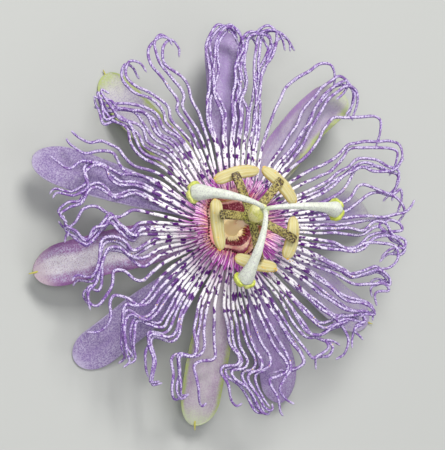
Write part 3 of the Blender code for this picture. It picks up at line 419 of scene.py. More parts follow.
# %% Give the blades two faces, veins and a keel
BLADE_ROWS = 150
BLADE_COLUMNS = 37
VEINS = 6  # on each side of the middle
LOWEST_Z = 0.02  # a tip that bears the flower stops here, just above the floor
THINNEST = 0.14  # at a blade's edge
MIDDLE_THICKER = 0.32  # how much it gains from there to the middle
VEIN_RELIEF, LUMP_RELIEF, PUCKER_RELIEF = 0.028, 0.10, 0.05
CREASE_DEPTH, CREASE_HALF = 0.16, 0.45  # of the crease along the middle of the upper face
KEEL_FROM, KEEL_GAINS, KEEL_HALF = 0.15, 0.55, 0.5  # how deep the keel starts, and how it grows to the tip
RELIEF_HALF = 3.9  # the half width that the relief is laid out on, about that of every blade
HORN_LENGTH = 2.0
HORN_R = 0.20


def blade(kind, number, row):
    """The surface + normal x (half the thickness + relief), and - normal x (half of it + keel) below.

    The thickness is the thinnest + sqrt(1 - across²) x what the middle gains, which falls off at the
    tip, and the veins are a cosine across the blade.
    """
    share = 1 - (1 - np.linspace(0, 1, BLADE_ROWS)) ** 1.35
    across = np.sin(np.linspace(-1, 1, BLADE_COLUMNS) * math.pi / 2)
    if kind == "sepal":
        under = blade_surface(SEPAL_ROOT_Z, row, SEPAL_SHAPE, share, across)
    else:
        under = blade_surface(PETAL_ROOT_Z, row, PETAL_SHAPE, share, across)
    middle = under + np.array((0, 0, BLADE_THICK / 2))
    normal = unit(np.cross(np.gradient(middle, axis=0), np.gradient(middle, axis=1)))
    normal *= np.sign(normal[..., 2:].mean())
    length = (row[1] - BLADE_ROOT_R) * share[:, None]
    width = RELIEF_HALF * across[None, :]
    gain = MIDDLE_THICKER * np.sqrt(1 - across[None, :] ** 2)
    thick = THINNEST + gain * np.minimum(1, 9 * (1.02 - share[:, None]))
    uneven = 0.5 * waves(length / 5, width / 5, number)
    lines = np.cos(2 * math.pi * VEINS * (np.abs(across[None, :]) ** 0.9) + uneven)
    fade = ease(share[:, None] / 0.2) * ease((1.02 - share[:, None]) / 0.25) * (1 - across[None, :] ** 4)
    relief = VEIN_RELIEF * lines * fade + LUMP_RELIEF * waves(length / 2.6, width / 2.2, 10 + number) * fade
    relief = relief + PUCKER_RELIEF * waves(length / 1.1, width / 0.8, 30 + number) * fade
    crease = -CREASE_DEPTH * np.exp(-((width / CREASE_HALF) ** 2)) * fade
    upper = middle + normal * (thick / 2 + relief + crease)[..., None]
    keel = 0.0
    if kind == "sepal":
        deep = KEEL_FROM + KEEL_GAINS * ease((share[:, None] - 0.25) / 0.6)
        keel = deep * np.exp(-((width / KEEL_HALF) ** 2)) * fade
    lower = middle - normal * (thick / 2 - 0.7 * relief + keel)[..., None]
    lower[..., 2] = np.maximum(lower[..., 2], LOWEST_Z)
    upper[..., 2] = np.maximum(upper[..., 2], LOWEST_Z + THINNEST)
    grid = np.concatenate((upper, lower[:, ::-1]), axis=1)[None]
    facing = np.repeat((1.0, 0.0), BLADE_COLUMNS)[None, None, :]
    both = np.concatenate((across, across[::-1]))[None, None, :]
    parts = [skin(grid, share=share[None, :, None], across=both, upper=facing, horn=np.zeros((1, 1, 1)))]
    if kind == "sepal":
        parts.append(horn(middle[:, BLADE_COLUMNS // 2]))
    return merged(parts)


def horn(line):
    """A tapering round tube, from inside the tip and out past it, bent a little up."""
    out = unit((line[-1] - line[-14]) * np.array((1, 1, 0.3)))
    steps = np.linspace(0, 1, 14)[:, None]
    path = line[-14] - np.array((0, 0, 0.12)) + out * HORN_LENGTH * steps + np.array((0, 0, 0.3)) * steps**2
    thick = HORN_R * np.sqrt(np.clip(1.02 - steps[:, 0], 0, 1)) + 0.02
    grid = carried(path[None], round_section(10)[None, None], thick[None], thick[None])
    one = np.ones((1, 1, 1))
    return skin(grid, share=one, across=0 * one, upper=0 * one, horn=one)


print("blade section:", 2 * BLADE_COLUMNS, "points round")

# %% [markdown]
# The blades' colour isn't one colour. Under a lens the skin is a mosaic of violet and almost white
# cells, which reads as fine grain; it is deeper in patches, and the sepals keep a green margin where
# the bud's outside wraps round. A noise on Object coordinates makes the grain, since that is the same
# size everywhere, and the blade's own across and share values place the margin and the pale middle.

# %% A finish for sepals and petals


def blade_finish(name, tones, back, middle_wide, margin_wide):
    """The body's colour with light grain and deep patches, then middle, margins, tip and back."""
    body, light, deep, middle, margin, left_margin, tip_tone = tones
    paint = Recipe(name, 0.62, Sheen_Weight=0.12, Sheen_Roughness=0.5, Specular_IOR_Level=0.3)
    share, across, upper = paint.value("share"), paint.value("across"), paint.value("upper")
    aside = paint.calc("ABSOLUTE", across)
    grain = paint.noise(paint.place, 2900.0, 2.0, 0.6)
    patch = paint.noise(paint.place, 230.0, 2.0)
    stretched = {0: paint.times(across, 16.0), 1: paint.times(share, 5.0)}
    vein = paint.noise(paint.node("ShaderNodeCombineXYZ", stretched), 1.0, 1.0)
    skin_tone = paint.mix(paint.ramp(grain, 0.46, 0.60), body, light)
    skin_tone = paint.mix(paint.ramp(patch, 0.45, 0.75, 0.0, 0.55), skin_tone, deep)
    skin_tone = paint.mix(paint.ramp(vein, 0.5, 0.7, 0.0, 0.35), skin_tone, deep)
    wander = paint.times(paint.calc("SUBTRACT", patch, 0.5), 0.5)
    inner = paint.ramp(paint.plus(aside, wander), middle_wide, middle_wide + 0.35, 1.0, 0.0)
    inner = paint.times(inner, paint.ramp(grain, 0.3, 0.55, 0.75, 1.0))
    skin_tone = paint.mix(inner, skin_tone, middle)
    edge = paint.ramp(paint.plus(aside, wander, 0.6), 1.0 - margin_wide, 1.0 - 0.25 * margin_wide)
    tip = paint.ramp(paint.plus(share, wander, 0.25), 0.96 - 0.45 * margin_wide, 1.0)
    fine = paint.noise(paint.place, 4300.0, 1.0)
    skin_tone = paint.mix(paint.ramp(fine, 0.50, 0.62, 0.0, 0.45), skin_tone, light)
    skin_tone = paint.mix(paint.ramp(fine, 0.36, 0.50, 0.5, 0.0), skin_tone, deep)
    edge = paint.times(edge, paint.ramp(share, 0.1, 0.4))
    speckled = paint.ramp(grain, 0.38, 0.52, 0.55, 1.0)
    edge = paint.times(edge, speckled)
    margin = paint.mix(paint.ramp(across, -0.3, 0.3), margin, left_margin)
    skin_tone = paint.mix(edge, skin_tone, margin)
    skin_tone = paint.mix(paint.times(tip, speckled), skin_tone, tip_tone)
    skin_tone = paint.mix(upper, paint.mix(paint.ramp(grain, 0.4, 0.6), back, margin), skin_tone)
    skin_tone = paint.mix(paint.value("horn"), skin_tone, HORN_OLIVE)
    relief = paint.plus(grain, vein, 0.6)
    return paint.done(skin_tone, relief, 0.05, 0.5)


LILAC, PALE_LILAC, VIOLET = (0.30, 0.22, 0.43), (0.47, 0.41, 0.59), (0.17, 0.105, 0.31)
GREY_LILAC, DUSKY = (0.40, 0.32, 0.52), (0.40, 0.27, 0.54)
WHITISH, WARM_WHITE, ROSE = (0.44, 0.39, 0.51), (0.56, 0.54, 0.57), (0.42, 0.27, 0.44)
MARGIN_GREEN, KEEL_GREEN = (0.40, 0.47, 0.17), (0.30, 0.42, 0.14)
PURPLE, PURPLE_MARGIN, CENTRE_WHITE = (0.33, 0.17, 0.37), (0.20, 0.08, 0.23), (0.70, 0.67, 0.70)
PETAL_BACK, HORN_OLIVE = (0.42, 0.34, 0.55), (0.50, 0.47, 0.09)
TIP_BEIGE, GREEN_WHITE = (0.50, 0.40, 0.46), (0.52, 0.57, 0.40)
MAUVE, ROSE_GREY, PALE_ROSE = (0.31, 0.19, 0.40), (0.43, 0.36, 0.43), (0.53, 0.48, 0.52)
# Body, light grain, deep patches, middle, right margin, left margin and tip, then how wide the middle
# and the margin are
SEPAL_TONES = (
    (WHITISH, WARM_WHITE, LILAC, WARM_WHITE, MARGIN_GREEN, MARGIN_GREEN, MARGIN_GREEN, 0.30, 0.34),
    (PURPLE, PALE_LILAC, PURPLE_MARGIN, CENTRE_WHITE, PURPLE_MARGIN, PURPLE_MARGIN, TIP_BEIGE, 0.26, 0.26),
    (ROSE_GREY, PALE_ROSE, ROSE, PALE_ROSE, MARGIN_GREEN, MARGIN_GREEN, GREEN_WHITE, 0.30, 0.26),
    (PALE_LILAC, WARM_WHITE, DUSKY, WHITISH, GREY_LILAC, GREY_LILAC, GREY_LILAC, 0.15, 0.05),
    (ROSE_GREY, WHITISH, LILAC, WHITISH, MARGIN_GREEN, MAUVE, GREEN_WHITE, 0.25, 0.36),
)
# Body, light grain, deep patches, middle and both margins
PETAL_TONES = (
    (LILAC, PALE_LILAC, VIOLET, LILAC, PALE_LILAC),
    (LILAC, PALE_LILAC, VIOLET, LILAC, PALE_LILAC),
    (DUSKY, PALE_LILAC, VIOLET, DUSKY, LILAC),
    (GREY_LILAC, PALE_LILAC, LILAC, VIOLET, WARM_WHITE),
    (LILAC, PALE_LILAC, DUSKY, LILAC, LILAC),
)

for number, (row, tones) in enumerate(zip(SEPALS, SEPAL_TONES), 1):
    finish = blade_finish(f"sepal_skin_{number}", tones[:7], KEEL_GREEN, *tones[7:])
    piece(f"Sepal_{number}", blade("sepal", number, row), finish, "sepal", f"sepal_{number}")

PETAL_MARGINS = (0.04, 0.04, 0.04, 0.55, 0.04)  # how wide each petal's margin is
for number, (row, tones, margin_wide) in enumerate(zip(PETALS, PETAL_TONES, PETAL_MARGINS), 1):
    margin = tones[-1]
    finish = blade_finish(f"petal_skin_{number}", (*tones, margin, margin), PETAL_BACK, 0.0, margin_wide)
    piece(f"Petal_{number}", blade("petal", 10 + number, row), finish, "petal", f"petal_{number}")

# %% [markdown]
# The corona is the flower's show piece: about a hundred threads that start as a flat banded disc and
# end in crimped, hooked tips, gathered in loose tufts. A hair system could comb them, but then no two
# runs or exports would agree on where they are. Instead each tuft has one written line of (reach,
# direction) points, its threads follow that line side by side, and each one is varied a little by its
# own seed.

# %% The tufts of the corona
TUFTS = (
    (2, ((13.0, 351.4), (16.5, 354.0), (20.7, 355.7), (24.6, 357.5), (27.2, 357.5), (28.3, 356.7),
         (28.5, 352.3), (27.7, 346.0))),
    (1, ((13.0, 354.5), (17.0, 357.0), (22.0, 358.5), (25.4, 360.0), (28.1, 360.5), (28.5, 363.6),
         (28.5, 368.7), (27.2, 370.0), (30.0, 374.0))),
    (2, ((15.0, 4.0), (18.3, 4.2), (21.9, 3.0), (24.5, 4.7), (26.2, 9.8), (26.7, 15.1), (28.0, 20.4),
         (29.3, 25.6), (30.5, 28.0))),
    (1, ((15.0, 6.8), (21.0, 6.6), (24.9, 7.3), (28.4, 10.8), (29.6, 7.5), (28.6, 4.0), (30.5, 1.5))),
    (2, ((15.0, 10.0), (18.3, 10.8), (21.9, 11.4), (24.9, 13.4), (26.2, 18.6), (27.0, 22.5), (29.0, 25.5),
         (31.0, 26.5))),
    (1, ((14.3, 16.2), (20.0, 17.5), (25.0, 18.6), (28.5, 19.0), (30.5, 17.0), (32.3, 13.0), (31.8, 9.5))),
    (1, ((14.3, 19.2), (20.0, 19.9), (24.6, 20.6), (27.2, 23.2), (29.0, 25.9), (30.4, 28.4), (31.5, 26.0),
         (30.5, 21.5), (33.4, 21.5))),
    (1, ((15.3, 23.6), (21.4, 24.0), (25.9, 24.9), (28.0, 26.7), (30.0, 29.5), (31.8, 30.5), (32.5, 28.5))),
    (1, ((17.0, 27.4), (22.3, 26.7), (26.4, 27.1), (29.0, 28.4), (30.8, 26.7), (30.0, 24.0), (30.6, 20.5),
         (31.9, 16.2))),
    (2, ((16.0, 31.4), (21.4, 30.6), (25.4, 29.7), (28.6, 31.9), (31.2, 32.3), (31.9, 30.9), (30.2, 29.5),
         (29.4, 27.0))),
    (1, ((15.7, 36.0), (22.0, 37.0), (26.0, 36.9), (28.8, 39.6), (31.2, 41.3), (32.7, 40.0), (30.9, 37.8),
         (32.0, 34.0))),
    (1, ((16.0, 39.5), (23.0, 40.3), (25.7, 39.6), (28.8, 43.9), (30.5, 45.5), (32.6, 44.3), (31.5, 42.0),
         (30.4, 39.6), (31.4, 36.2))),
    (2, ((14.7, 43.9), (19.2, 42.2), (23.8, 40.8), (25.2, 40.4), (28.4, 44.8), (30.2, 46.5), (32.5, 45.2),
         (33.0, 42.9), (31.0, 42.9), (29.8, 40.5))),
    (2, ((15.0, 49.2), (21.0, 51.0), (24.8, 52.3), (28.0, 57.9), (30.4, 59.7), (32.7, 58.4), (34.4, 56.0),
         (33.3, 52.6))),
    (1, ((15.0, 53.2), (19.6, 53.4), (23.8, 51.7), (27.1, 55.3), (29.9, 56.2), (33.0, 54.9), (33.6, 51.0),
         (31.8, 47.5), (30.4, 46.6))),
    (2, ((16.0, 59.5), (22.5, 60.1), (25.8, 59.7), (28.6, 63.1), (30.5, 62.3), (31.9, 58.7), (34.4, 57.0),
         (34.0, 54.2), (31.6, 53.6), (30.0, 50.1))),
    (1, ((17.0, 63.5), (24.0, 63.8), (29.0, 65.2), (33.5, 63.5), (34.2, 61.0), (31.0, 60.6), (29.6, 62.8),
         (31.6, 64.5))),
    (1, ((17.0, 66.5), (24.1, 66.4), (30.8, 65.8), (35.0, 66.2), (37.4, 68.3), (38.9, 70.3))),
    (1, ((16.5, 69.5), (24.1, 70.0), (28.4, 74.5), (31.3, 74.9), (33.7, 72.8), (36.1, 74.2), (36.2, 70.9),
         (34.9, 66.5))),
    (1, ((16.5, 72.6), (24.1, 73.8), (27.4, 78.9), (29.9, 77.1), (33.2, 73.6), (35.0, 70.2), (36.2, 66.7),
         (34.0, 63.3))),
    (1, ((17.0, 76.5), (22.7, 78.4), (27.0, 84.0), (29.0, 85.8), (32.4, 83.2), (35.8, 78.8), (35.0, 75.0),
         (31.9, 71.6))),
    (1, ((16.8, 80.6), (21.0, 82.0), (26.5, 85.3), (29.5, 85.3), (31.5, 82.3), (34.9, 80.6), (36.8, 80.6),
         (39.0, 82.7))),
    (2, ((16.0, 84.6), (20.6, 84.9), (26.1, 86.7), (30.0, 87.5), (32.9, 84.9), (34.9, 81.4), (36.7, 78.8),
         (35.4, 75.0), (34.4, 71.6))),
    (1, ((15.0, 92.1), (20.4, 90.5), (23.3, 89.6), (27.3, 92.2), (29.7, 93.1), (33.7, 89.6), (36.7, 87.0),
         (38.3, 84.9), (36.7, 81.4), (34.9, 79.3))),
    (1, ((15.0, 97.2), (20.0, 95.6), (23.3, 93.8), (27.8, 94.3), (30.2, 94.8), (34.1, 91.3), (37.6, 88.6),
         (39.2, 86.6), (38.6, 83.2), (36.4, 80.6))),
    (1, ((15.5, 104.0), (20.5, 103.0), (25.5, 103.8), (27.9, 106.0), (30.9, 105.6), (33.8, 101.6),
         (37.8, 97.3), (38.5, 95.2), (36.8, 92.1), (34.7, 88.6))),
    (2, ((15.0, 109.0), (20.5, 108.9), (25.0, 110.6), (29.6, 112.1), (33.5, 112.0), (37.4, 110.7),
         (38.6, 107.4), (36.9, 103.6), (34.4, 101.3))),
    (1, ((15.0, 113.0), (20.5, 111.6), (27.6, 112.9), (32.0, 113.7), (35.4, 112.3), (38.0, 110.6),
         (37.0, 109.0), (33.6, 109.2))),
    (1, ((15.0, 117.0), (20.3, 116.1), (24.3, 116.1), (29.6, 116.5), (35.5, 114.6), (38.0, 113.3),
         (38.8, 110.6), (38.2, 106.9), (35.9, 104.3), (33.6, 103.4))),
    (1, ((15.6, 127.6), (19.9, 128.4), (25.2, 127.8), (29.8, 127.0), (33.8, 123.3), (37.9, 119.7),
         (39.0, 116.8), (37.6, 113.2), (36.0, 111.6))),
    (2, ((16.0, 132.4), (20.0, 133.6), (26.5, 137.2), (31.6, 139.4), (36.6, 139.8), (39.2, 138.5),
         (40.0, 135.0), (39.3, 131.5), (37.7, 129.6))),
    (1, ((16.0, 135.4), (20.0, 135.9), (27.9, 137.2), (33.4, 135.9), (37.6, 134.6), (39.4, 132.8),
         (39.7, 129.8), (38.9, 127.2))),
    (2, ((16.0, 138.2), (20.0, 137.8), (26.5, 137.9), (31.1, 137.6), (34.4, 135.9), (37.0, 135.0),
         (39.2, 135.9), (39.9, 138.5), (38.7, 140.7), (37.0, 142.2))),
    (2, ((15.5, 142.3), (19.2, 141.7), (22.9, 142.6), (25.7, 144.8), (28.4, 143.9), (32.0, 144.8),
         (36.1, 144.8), (38.3, 142.6), (38.8, 139.4), (37.2, 136.2), (35.3, 134.8))),
    (2, ((15.5, 146.8), (20.5, 145.2), (23.7, 145.9), (27.3, 143.9), (30.5, 146.0), (34.1, 144.8),
         (37.3, 143.6), (38.4, 140.4), (36.9, 138.4))),
    (1, ((15.5, 150.3), (20.0, 148.4), (24.4, 148.7), (29.0, 147.2), (31.7, 146.7), (34.2, 145.0),
         (36.4, 145.8), (38.4, 148.6), (37.4, 151.4))),
    (2, ((15.5, 154.6), (20.8, 153.2), (22.6, 153.7), (26.2, 156.3), (30.2, 154.5), (33.8, 154.0),
         (36.4, 152.3), (38.6, 149.4), (38.2, 146.0), (36.0, 144.5))),
    (2, ((15.5, 160.3), (20.0, 161.6), (24.6, 160.0), (26.6, 157.2), (30.0, 156.7), (35.3, 156.0),
         (37.6, 154.6), (39.3, 151.6), (38.6, 148.0), (36.5, 145.6))),
    (1, ((15.5, 165.0), (18.3, 165.2), (22.0, 165.8), (24.5, 167.0), (27.5, 166.6), (30.6, 169.7),
         (33.0, 172.3), (35.4, 170.6), (36.5, 167.0), (34.8, 164.8), (33.0, 165.6))),
    (1, ((15.5, 170.0), (20.1, 170.8), (24.0, 173.0), (26.0, 170.8), (29.6, 171.7), (33.5, 174.3),
         (36.5, 173.4), (38.1, 170.0), (36.5, 167.3))),
    (1, ((15.5, 173.0), (20.1, 173.5), (24.2, 175.7), (25.8, 173.7), (29.5, 174.3), (33.8, 177.0),
         (37.0, 174.9), (38.4, 171.2), (37.7, 168.5), (36.0, 167.5))),
    (2, ((15.5, 178.0), (18.0, 178.9), (22.8, 181.7), (25.1, 180.6), (28.5, 182.6), (31.5, 187.0),
         (33.9, 187.0), (36.0, 183.8), (34.7, 181.2), (32.4, 180.4))),
    (2, ((15.5, 183.7), (19.4, 184.2), (22.0, 187.2), (25.1, 186.9), (27.6, 188.6), (29.6, 192.9),
         (31.5, 196.0), (34.0, 198.5))),
    (2, ((15.5, 188.9), (19.0, 189.5), (22.0, 192.1), (25.1, 190.8), (27.6, 191.2), (29.8, 194.7),
         (31.0, 197.4), (33.0, 196.6), (34.9, 198.0))),
    (2, ((15.5, 194.4), (18.1, 194.7), (22.0, 198.2), (24.6, 196.2), (27.2, 197.2), (29.4, 199.4),
         (32.3, 198.2), (34.9, 195.8), (33.4, 194.6))),
    (2, ((15.5, 200.6), (18.1, 201.2), (22.0, 203.8), (24.6, 201.6), (27.2, 198.2), (29.8, 199.0),
         (31.2, 202.6), (33.6, 199.5), (35.4, 196.6))),
    (1, ((15.5, 207.6), (19.2, 208.8), (22.1, 211.9), (24.4, 210.6), (26.5, 208.3), (29.3, 209.7),
         (31.2, 212.5), (33.2, 212.4), (35.3, 211.2))),
    (1, ((15.5, 211.2), (18.0, 212.3), (22.1, 215.3), (24.4, 213.6), (26.5, 211.0), (29.0, 213.0),
         (31.2, 216.3), (33.5, 215.0), (35.0, 212.8))),
    (1, ((15.5, 214.6), (20.8, 214.4), (23.4, 218.4), (27.0, 217.7), (30.6, 219.4), (32.7, 223.4),
         (34.4, 222.6), (36.6, 221.0))),
    (2, ((15.5, 219.2), (19.1, 218.7), (21.0, 219.4), (23.4, 221.9), (25.6, 220.3), (27.0, 217.6),
         (29.1, 218.4), (30.2, 222.3), (29.3, 226.7), (31.4, 231.0), (34.4, 230.6), (35.3, 232.7))),
    (2, ((15.5, 224.9), (19.8, 223.3), (22.1, 227.0), (23.6, 228.4), (26.5, 225.7), (28.4, 228.2),
         (29.3, 233.4), (31.4, 235.0), (33.1, 237.7), (31.6, 240.2))),
    (1, ((15.5, 233.4), (19.4, 233.2), (22.5, 237.7), (26.0, 233.8), (28.5, 235.5), (29.7, 240.3),
         (31.4, 241.8), (32.7, 239.6))),
    (2, ((16.0, 241.0), (18.9, 241.9), (20.6, 246.0), (22.7, 240.8), (24.3, 237.7), (25.6, 241.5),
         (27.4, 245.6), (29.4, 247.9), (31.0, 244.7), (32.4, 242.6), (32.9, 238.6))),
    (2, ((16.0, 245.9), (18.5, 245.4), (20.0, 248.4), (22.2, 243.4), (24.0, 239.4), (25.5, 242.6),
         (27.5, 243.9), (28.8, 247.9), (30.4, 246.1), (31.8, 243.5), (32.6, 246.5))),
    (2, ((15.1, 251.9), (18.2, 254.6), (20.4, 255.9), (21.5, 250.9), (23.2, 247.6), (25.2, 248.3),
         (26.6, 253.5), (27.7, 259.2), (29.1, 261.0), (30.9, 258.7), (32.2, 260.2))),
    (1, ((15.4, 258.0), (19.2, 260.4), (21.0, 257.6), (23.0, 252.2), (25.3, 252.0), (27.0, 257.0),
         (28.8, 262.4), (31.3, 264.6), (32.3, 270.3))),
    (1, ((15.7, 262.0), (19.4, 264.4), (21.2, 260.2), (22.7, 253.8), (24.9, 252.0), (26.8, 255.4),
         (27.6, 260.5), (29.3, 265.3), (30.9, 263.6), (32.2, 264.8), (32.0, 268.2))),
    (1, ((15.8, 267.5), (18.6, 269.2), (21.4, 270.2), (22.9, 267.6), (23.8, 262.6), (25.5, 261.1),
         (27.0, 265.7), (28.8, 268.6), (31.2, 269.8), (32.2, 267.6), (31.6, 263.6), (30.2, 262.8))),
    (1, ((14.7, 272.9), (19.2, 275.9), (22.0, 278.5), (24.1, 278.5), (25.2, 272.4), (26.6, 269.9),
         (28.1, 271.8), (30.2, 276.7), (32.2, 277.4), (34.3, 275.3))),
    (1, ((15.6, 277.5), (18.8, 278.9), (22.9, 280.3), (24.7, 277.8), (26.1, 275.3), (27.3, 276.9),
         (28.8, 280.6), (31.0, 285.8), (31.6, 291.3))),
    (2, ((15.4, 283.0), (19.6, 284.1), (22.7, 285.8), (24.9, 284.4), (26.1, 278.8), (27.5, 278.9),
         (29.8, 283.2), (31.6, 286.7), (32.3, 289.8), (33.9, 289.6))),
    (2, ((15.6, 288.6), (18.2, 289.6), (22.5, 291.5), (24.1, 291.5), (25.2, 286.6), (26.2, 282.6),
         (27.9, 283.4), (29.9, 287.4), (31.4, 290.8), (33.0, 290.2))),
    (1, ((15.6, 292.6), (19.0, 293.6), (22.7, 295.4), (24.9, 294.6), (26.5, 289.9), (28.1, 292.0),
         (29.9, 293.0), (31.4, 295.6), (33.1, 299.0))),
    (2, ((15.5, 296.3), (20.0, 297.2), (23.1, 299.5), (25.0, 297.9), (26.1, 291.6), (27.5, 292.0),
         (29.5, 296.7), (31.7, 298.7), (33.3, 300.4), (31.9, 303.4))),
    (1, ((16.0, 302.4), (21.3, 306.1), (24.2, 309.8), (26.2, 309.2), (26.8, 304.3), (28.1, 305.3),
         (31.1, 307.8), (33.4, 310.4), (32.4, 313.5))),
    (2, ((16.0, 307.2), (20.9, 310.1), (24.2, 312.0), (25.7, 310.3), (26.4, 304.8), (27.6, 303.8),
         (29.9, 306.3), (32.7, 307.5), (33.8, 309.9), (32.1, 313.0))),
    (1, ((15.2, 313.6), (18.6, 316.3), (22.2, 317.9), (25.0, 318.9), (26.3, 313.2), (27.4, 311.8),
         (29.1, 313.5), (31.9, 316.2), (33.4, 318.6), (32.6, 320.8))),
    (1, ((15.0, 319.6), (18.9, 323.6), (21.9, 325.9), (24.3, 329.4), (25.6, 328.5), (26.0, 323.7),
         (27.0, 322.6), (28.6, 324.3), (31.4, 326.9), (32.7, 329.3), (32.3, 331.5))),
    (2, ((15.3, 325.3), (18.3, 327.6), (21.9, 329.5), (24.7, 332.2), (26.0, 330.7), (26.6, 326.2),
         (28.0, 327.0), (29.5, 331.1), (31.9, 334.4), (34.2, 336.4), (34.6, 338.9), (33.2, 338.8))),
    (2, ((13.5, 331.1), (16.6, 333.1), (21.6, 335.8), (25.5, 338.4), (26.9, 337.0), (27.3, 333.2),
         (28.5, 332.4), (30.7, 334.4), (33.5, 337.1), (34.2, 339.5), (32.9, 340.4))),
    (1, ((13.5, 337.5), (18.1, 339.9), (21.6, 341.6), (24.6, 344.5), (26.4, 343.8), (27.4, 340.4),
         (28.0, 336.8), (29.6, 336.6), (32.4, 338.6), (34.3, 340.6))),
    (1, ((13.5, 342.0), (19.4, 345.6), (22.5, 347.3), (25.9, 349.8), (27.9, 349.0), (28.6, 345.2),
         (28.7, 341.9), (30.2, 341.8), (32.2, 343.2), (34.6, 343.2), (35.8, 344.1))),
    (1, ((13.5, 347.0), (20.0, 349.6), (25.0, 352.3), (28.2, 351.3), (29.8, 347.4), (31.2, 344.9),
         (33.2, 346.8), (34.6, 349.4))),
)
TUFT_PITCH = 2.5  # degrees between filaments of one tuft
TIP_PITCH = 0.55  # the share of that left at their tips
CORONA_SEED = 11
CORONA_ROOT_R = 6.6
ROW_Z = (14.25, 14.85)  # of the lower and the upper row's roots
TIP_Z = 13.9  # of the lower row's tips
ROW_APART = 0.8  # at the tips
TIP_TILT_Z = 0.9  # the tips are this much higher towards TIP_TILT_TO, and lower on the other side
TIP_TILT_TO = 110
TIP_DROP = 1.1  # how far the last stretch of a filament hangs down
SWAY_ASIDE = 0.1  # how far a filament snakes sideways, and up and down
SWAY_UP = 0.3
print(len(TUFTS), "tufts,", sum(count for count, _ in TUFTS), "filaments")

# %% [markdown]
# A written line has corners, a thread hasn't. A Catmull-Rom spline goes smoothly through every point,
# which is why it is used and not a Bezier curve, which only leans towards them. The line is worked
# out flat first, in reach and direction, and then lifted: it rises or falls slowly to its tip, sways
# a little, and its last stretch hangs down.

# %% From tuft lines to filaments in space


def through(points, step):
    """A Catmull-Rom spline through the points, cut into equal steps.

    Its slope at a point is held to 1.1 times the stretch beside it, so that a short one makes no loop.
    """
    points = np.concatenate(([2 * points[0] - points[1]], points, [2 * points[-1] - points[-2]]))
    t = np.linspace(0, 1, 24, endpoint=False)[:, None]
    pieces = []
    for a, b, c, d in zip(points, points[1:], points[2:], points[3:]):
        m0, m1 = (c - a) / 2, (d - b) / 2
        reach = np.linalg.norm(c - b)
        m0 = m0 * min(1, 1.1 * reach / max(np.linalg.norm(m0), 1e-6))
        m1 = m1 * min(1, 1.1 * reach / max(np.linalg.norm(m1), 1e-6))
        places = b * (2 * t**3 - 3 * t**2 + 1) + c * (3 * t**2 - 2 * t**3)
        pieces.append(places + m0 * (t**3 - 2 * t**2 + t) + m1 * (t**3 - t**2))
    line = np.concatenate(pieces + [points[-2:-1]])
    at = length_along(line)
    even = np.arange(0, at[-1], step)
    return np.stack([np.interp(even, at, line[:, k]) for k in range(line.shape[1])], axis=1)


def corona_lines():
    """Each tuft's line, set off sideways for each of its filaments, from evenly spaced roots."""
    lines = []
    for count, guide in TUFTS:
        guide = np.array(guide)
        along = (guide[:, 0] - guide[0, 0]) / (guide[:, 0].max() - guide[0, 0])
        pitch = TUFT_PITCH * (1 - (1 - TIP_PITCH) * np.clip(along, 0, 1))
        for n in range(count):
            line = guide.copy()
            line[:, 1] += (n - (count - 1) / 2) * pitch
            lines.append(line)
    lines.sort(key=lambda line: line[0, 1])
    first = np.array([line[0, 1] for line in lines])
    even = 360 / len(lines) * np.arange(len(lines))
    roots = even + np.mean(first - even)
    return [
        np.concatenate((((CORONA_ROOT_R, root), (9.5, root + 0.35 * (line[0, 1] - root))), line))
        for root, line in zip(roots, lines)
    ]


def corona_paths(step=0.2):
    """The lines in space: z goes from the root's to the tip's with share^1.5, plus sines of the distance."""
    paths = []
    for n, line in enumerate(corona_lines()):
        own = np.random.default_rng((CORONA_SEED, n)).uniform(-1, 1, 8)
        reach = CORONA_ROOT_R + (line[:, 0] - CORONA_ROOT_R) * (1 + 0.02 * own[0])
        turn = np.radians(line[:, 1])
        flat = through(np.stack((reach * np.cos(turn), reach * np.sin(turn)), axis=1), step)
        travelled = step * np.arange(len(flat))
        along = np.gradient(flat, axis=0) / step
        beside = np.stack((-along[:, 1], along[:, 0]), axis=1)
        grow = ease((travelled - 6) / 14)
        sway = np.sin(travelled / (1.1 + 0.25 * own[1]) + 3 * own[2])
        sway = sway + 0.4 * np.sin(travelled / 0.7 + 3 * own[3])
        flat = flat + (SWAY_ASIDE * grow * sway)[:, None] * beside
        root_z = ROW_Z[n % 2]
        tip_z = TIP_Z + ROW_APART * (n % 2) + 0.3 * own[4]
        tip_z += TIP_TILT_Z * math.cos(math.radians(line[-1, 1] - TIP_TILT_TO))
        share = travelled / travelled[-1]
        z = root_z + (tip_z - root_z) * share**1.5
        z = z + SWAY_UP * grow * np.sin(travelled / (1.3 + 0.3 * own[5]) + 3 * own[6])
        z = z - TIP_DROP * (1 + own[7]) * ease((travelled - travelled[-1] + 5) / 5)
        paths.append(np.concatenate((flat, z[:, None]), axis=1))
    return paths


def thinned(path, points):
    """The same path with few points, closer together where it bends."""
    along = unit(np.diff(path, axis=0))
    bend = np.arccos(np.clip(np.sum(along[1:] * along[:-1], axis=1), -1, 1))
    bend = np.concatenate(([0], bend, [0]))
    weight = np.cumsum(0.045 + np.convolve(bend, np.ones(5) / 5, mode="same"))
    weight = (weight - weight[0]) / (weight[-1] - weight[0])
    at = np.linspace(0, 1, points)
    return np.stack([np.interp(at, weight, path[:, k]) for k in range(3)], axis=1)


def travelled_along(paths):
    """The distance along each path, for (path, point) rows."""
    steps = np.linalg.norm(np.diff(paths, axis=1), axis=2)
    return np.concatenate((np.zeros((len(paths), 1)), np.cumsum(steps, axis=1)), axis=1)


bend = np.array(((0.0, 0.0), (1.0, 1.0), (2.0, 0.0)))
print("a Catmull-Rom spline starts at its first point:", through(bend, 1.0)[0])

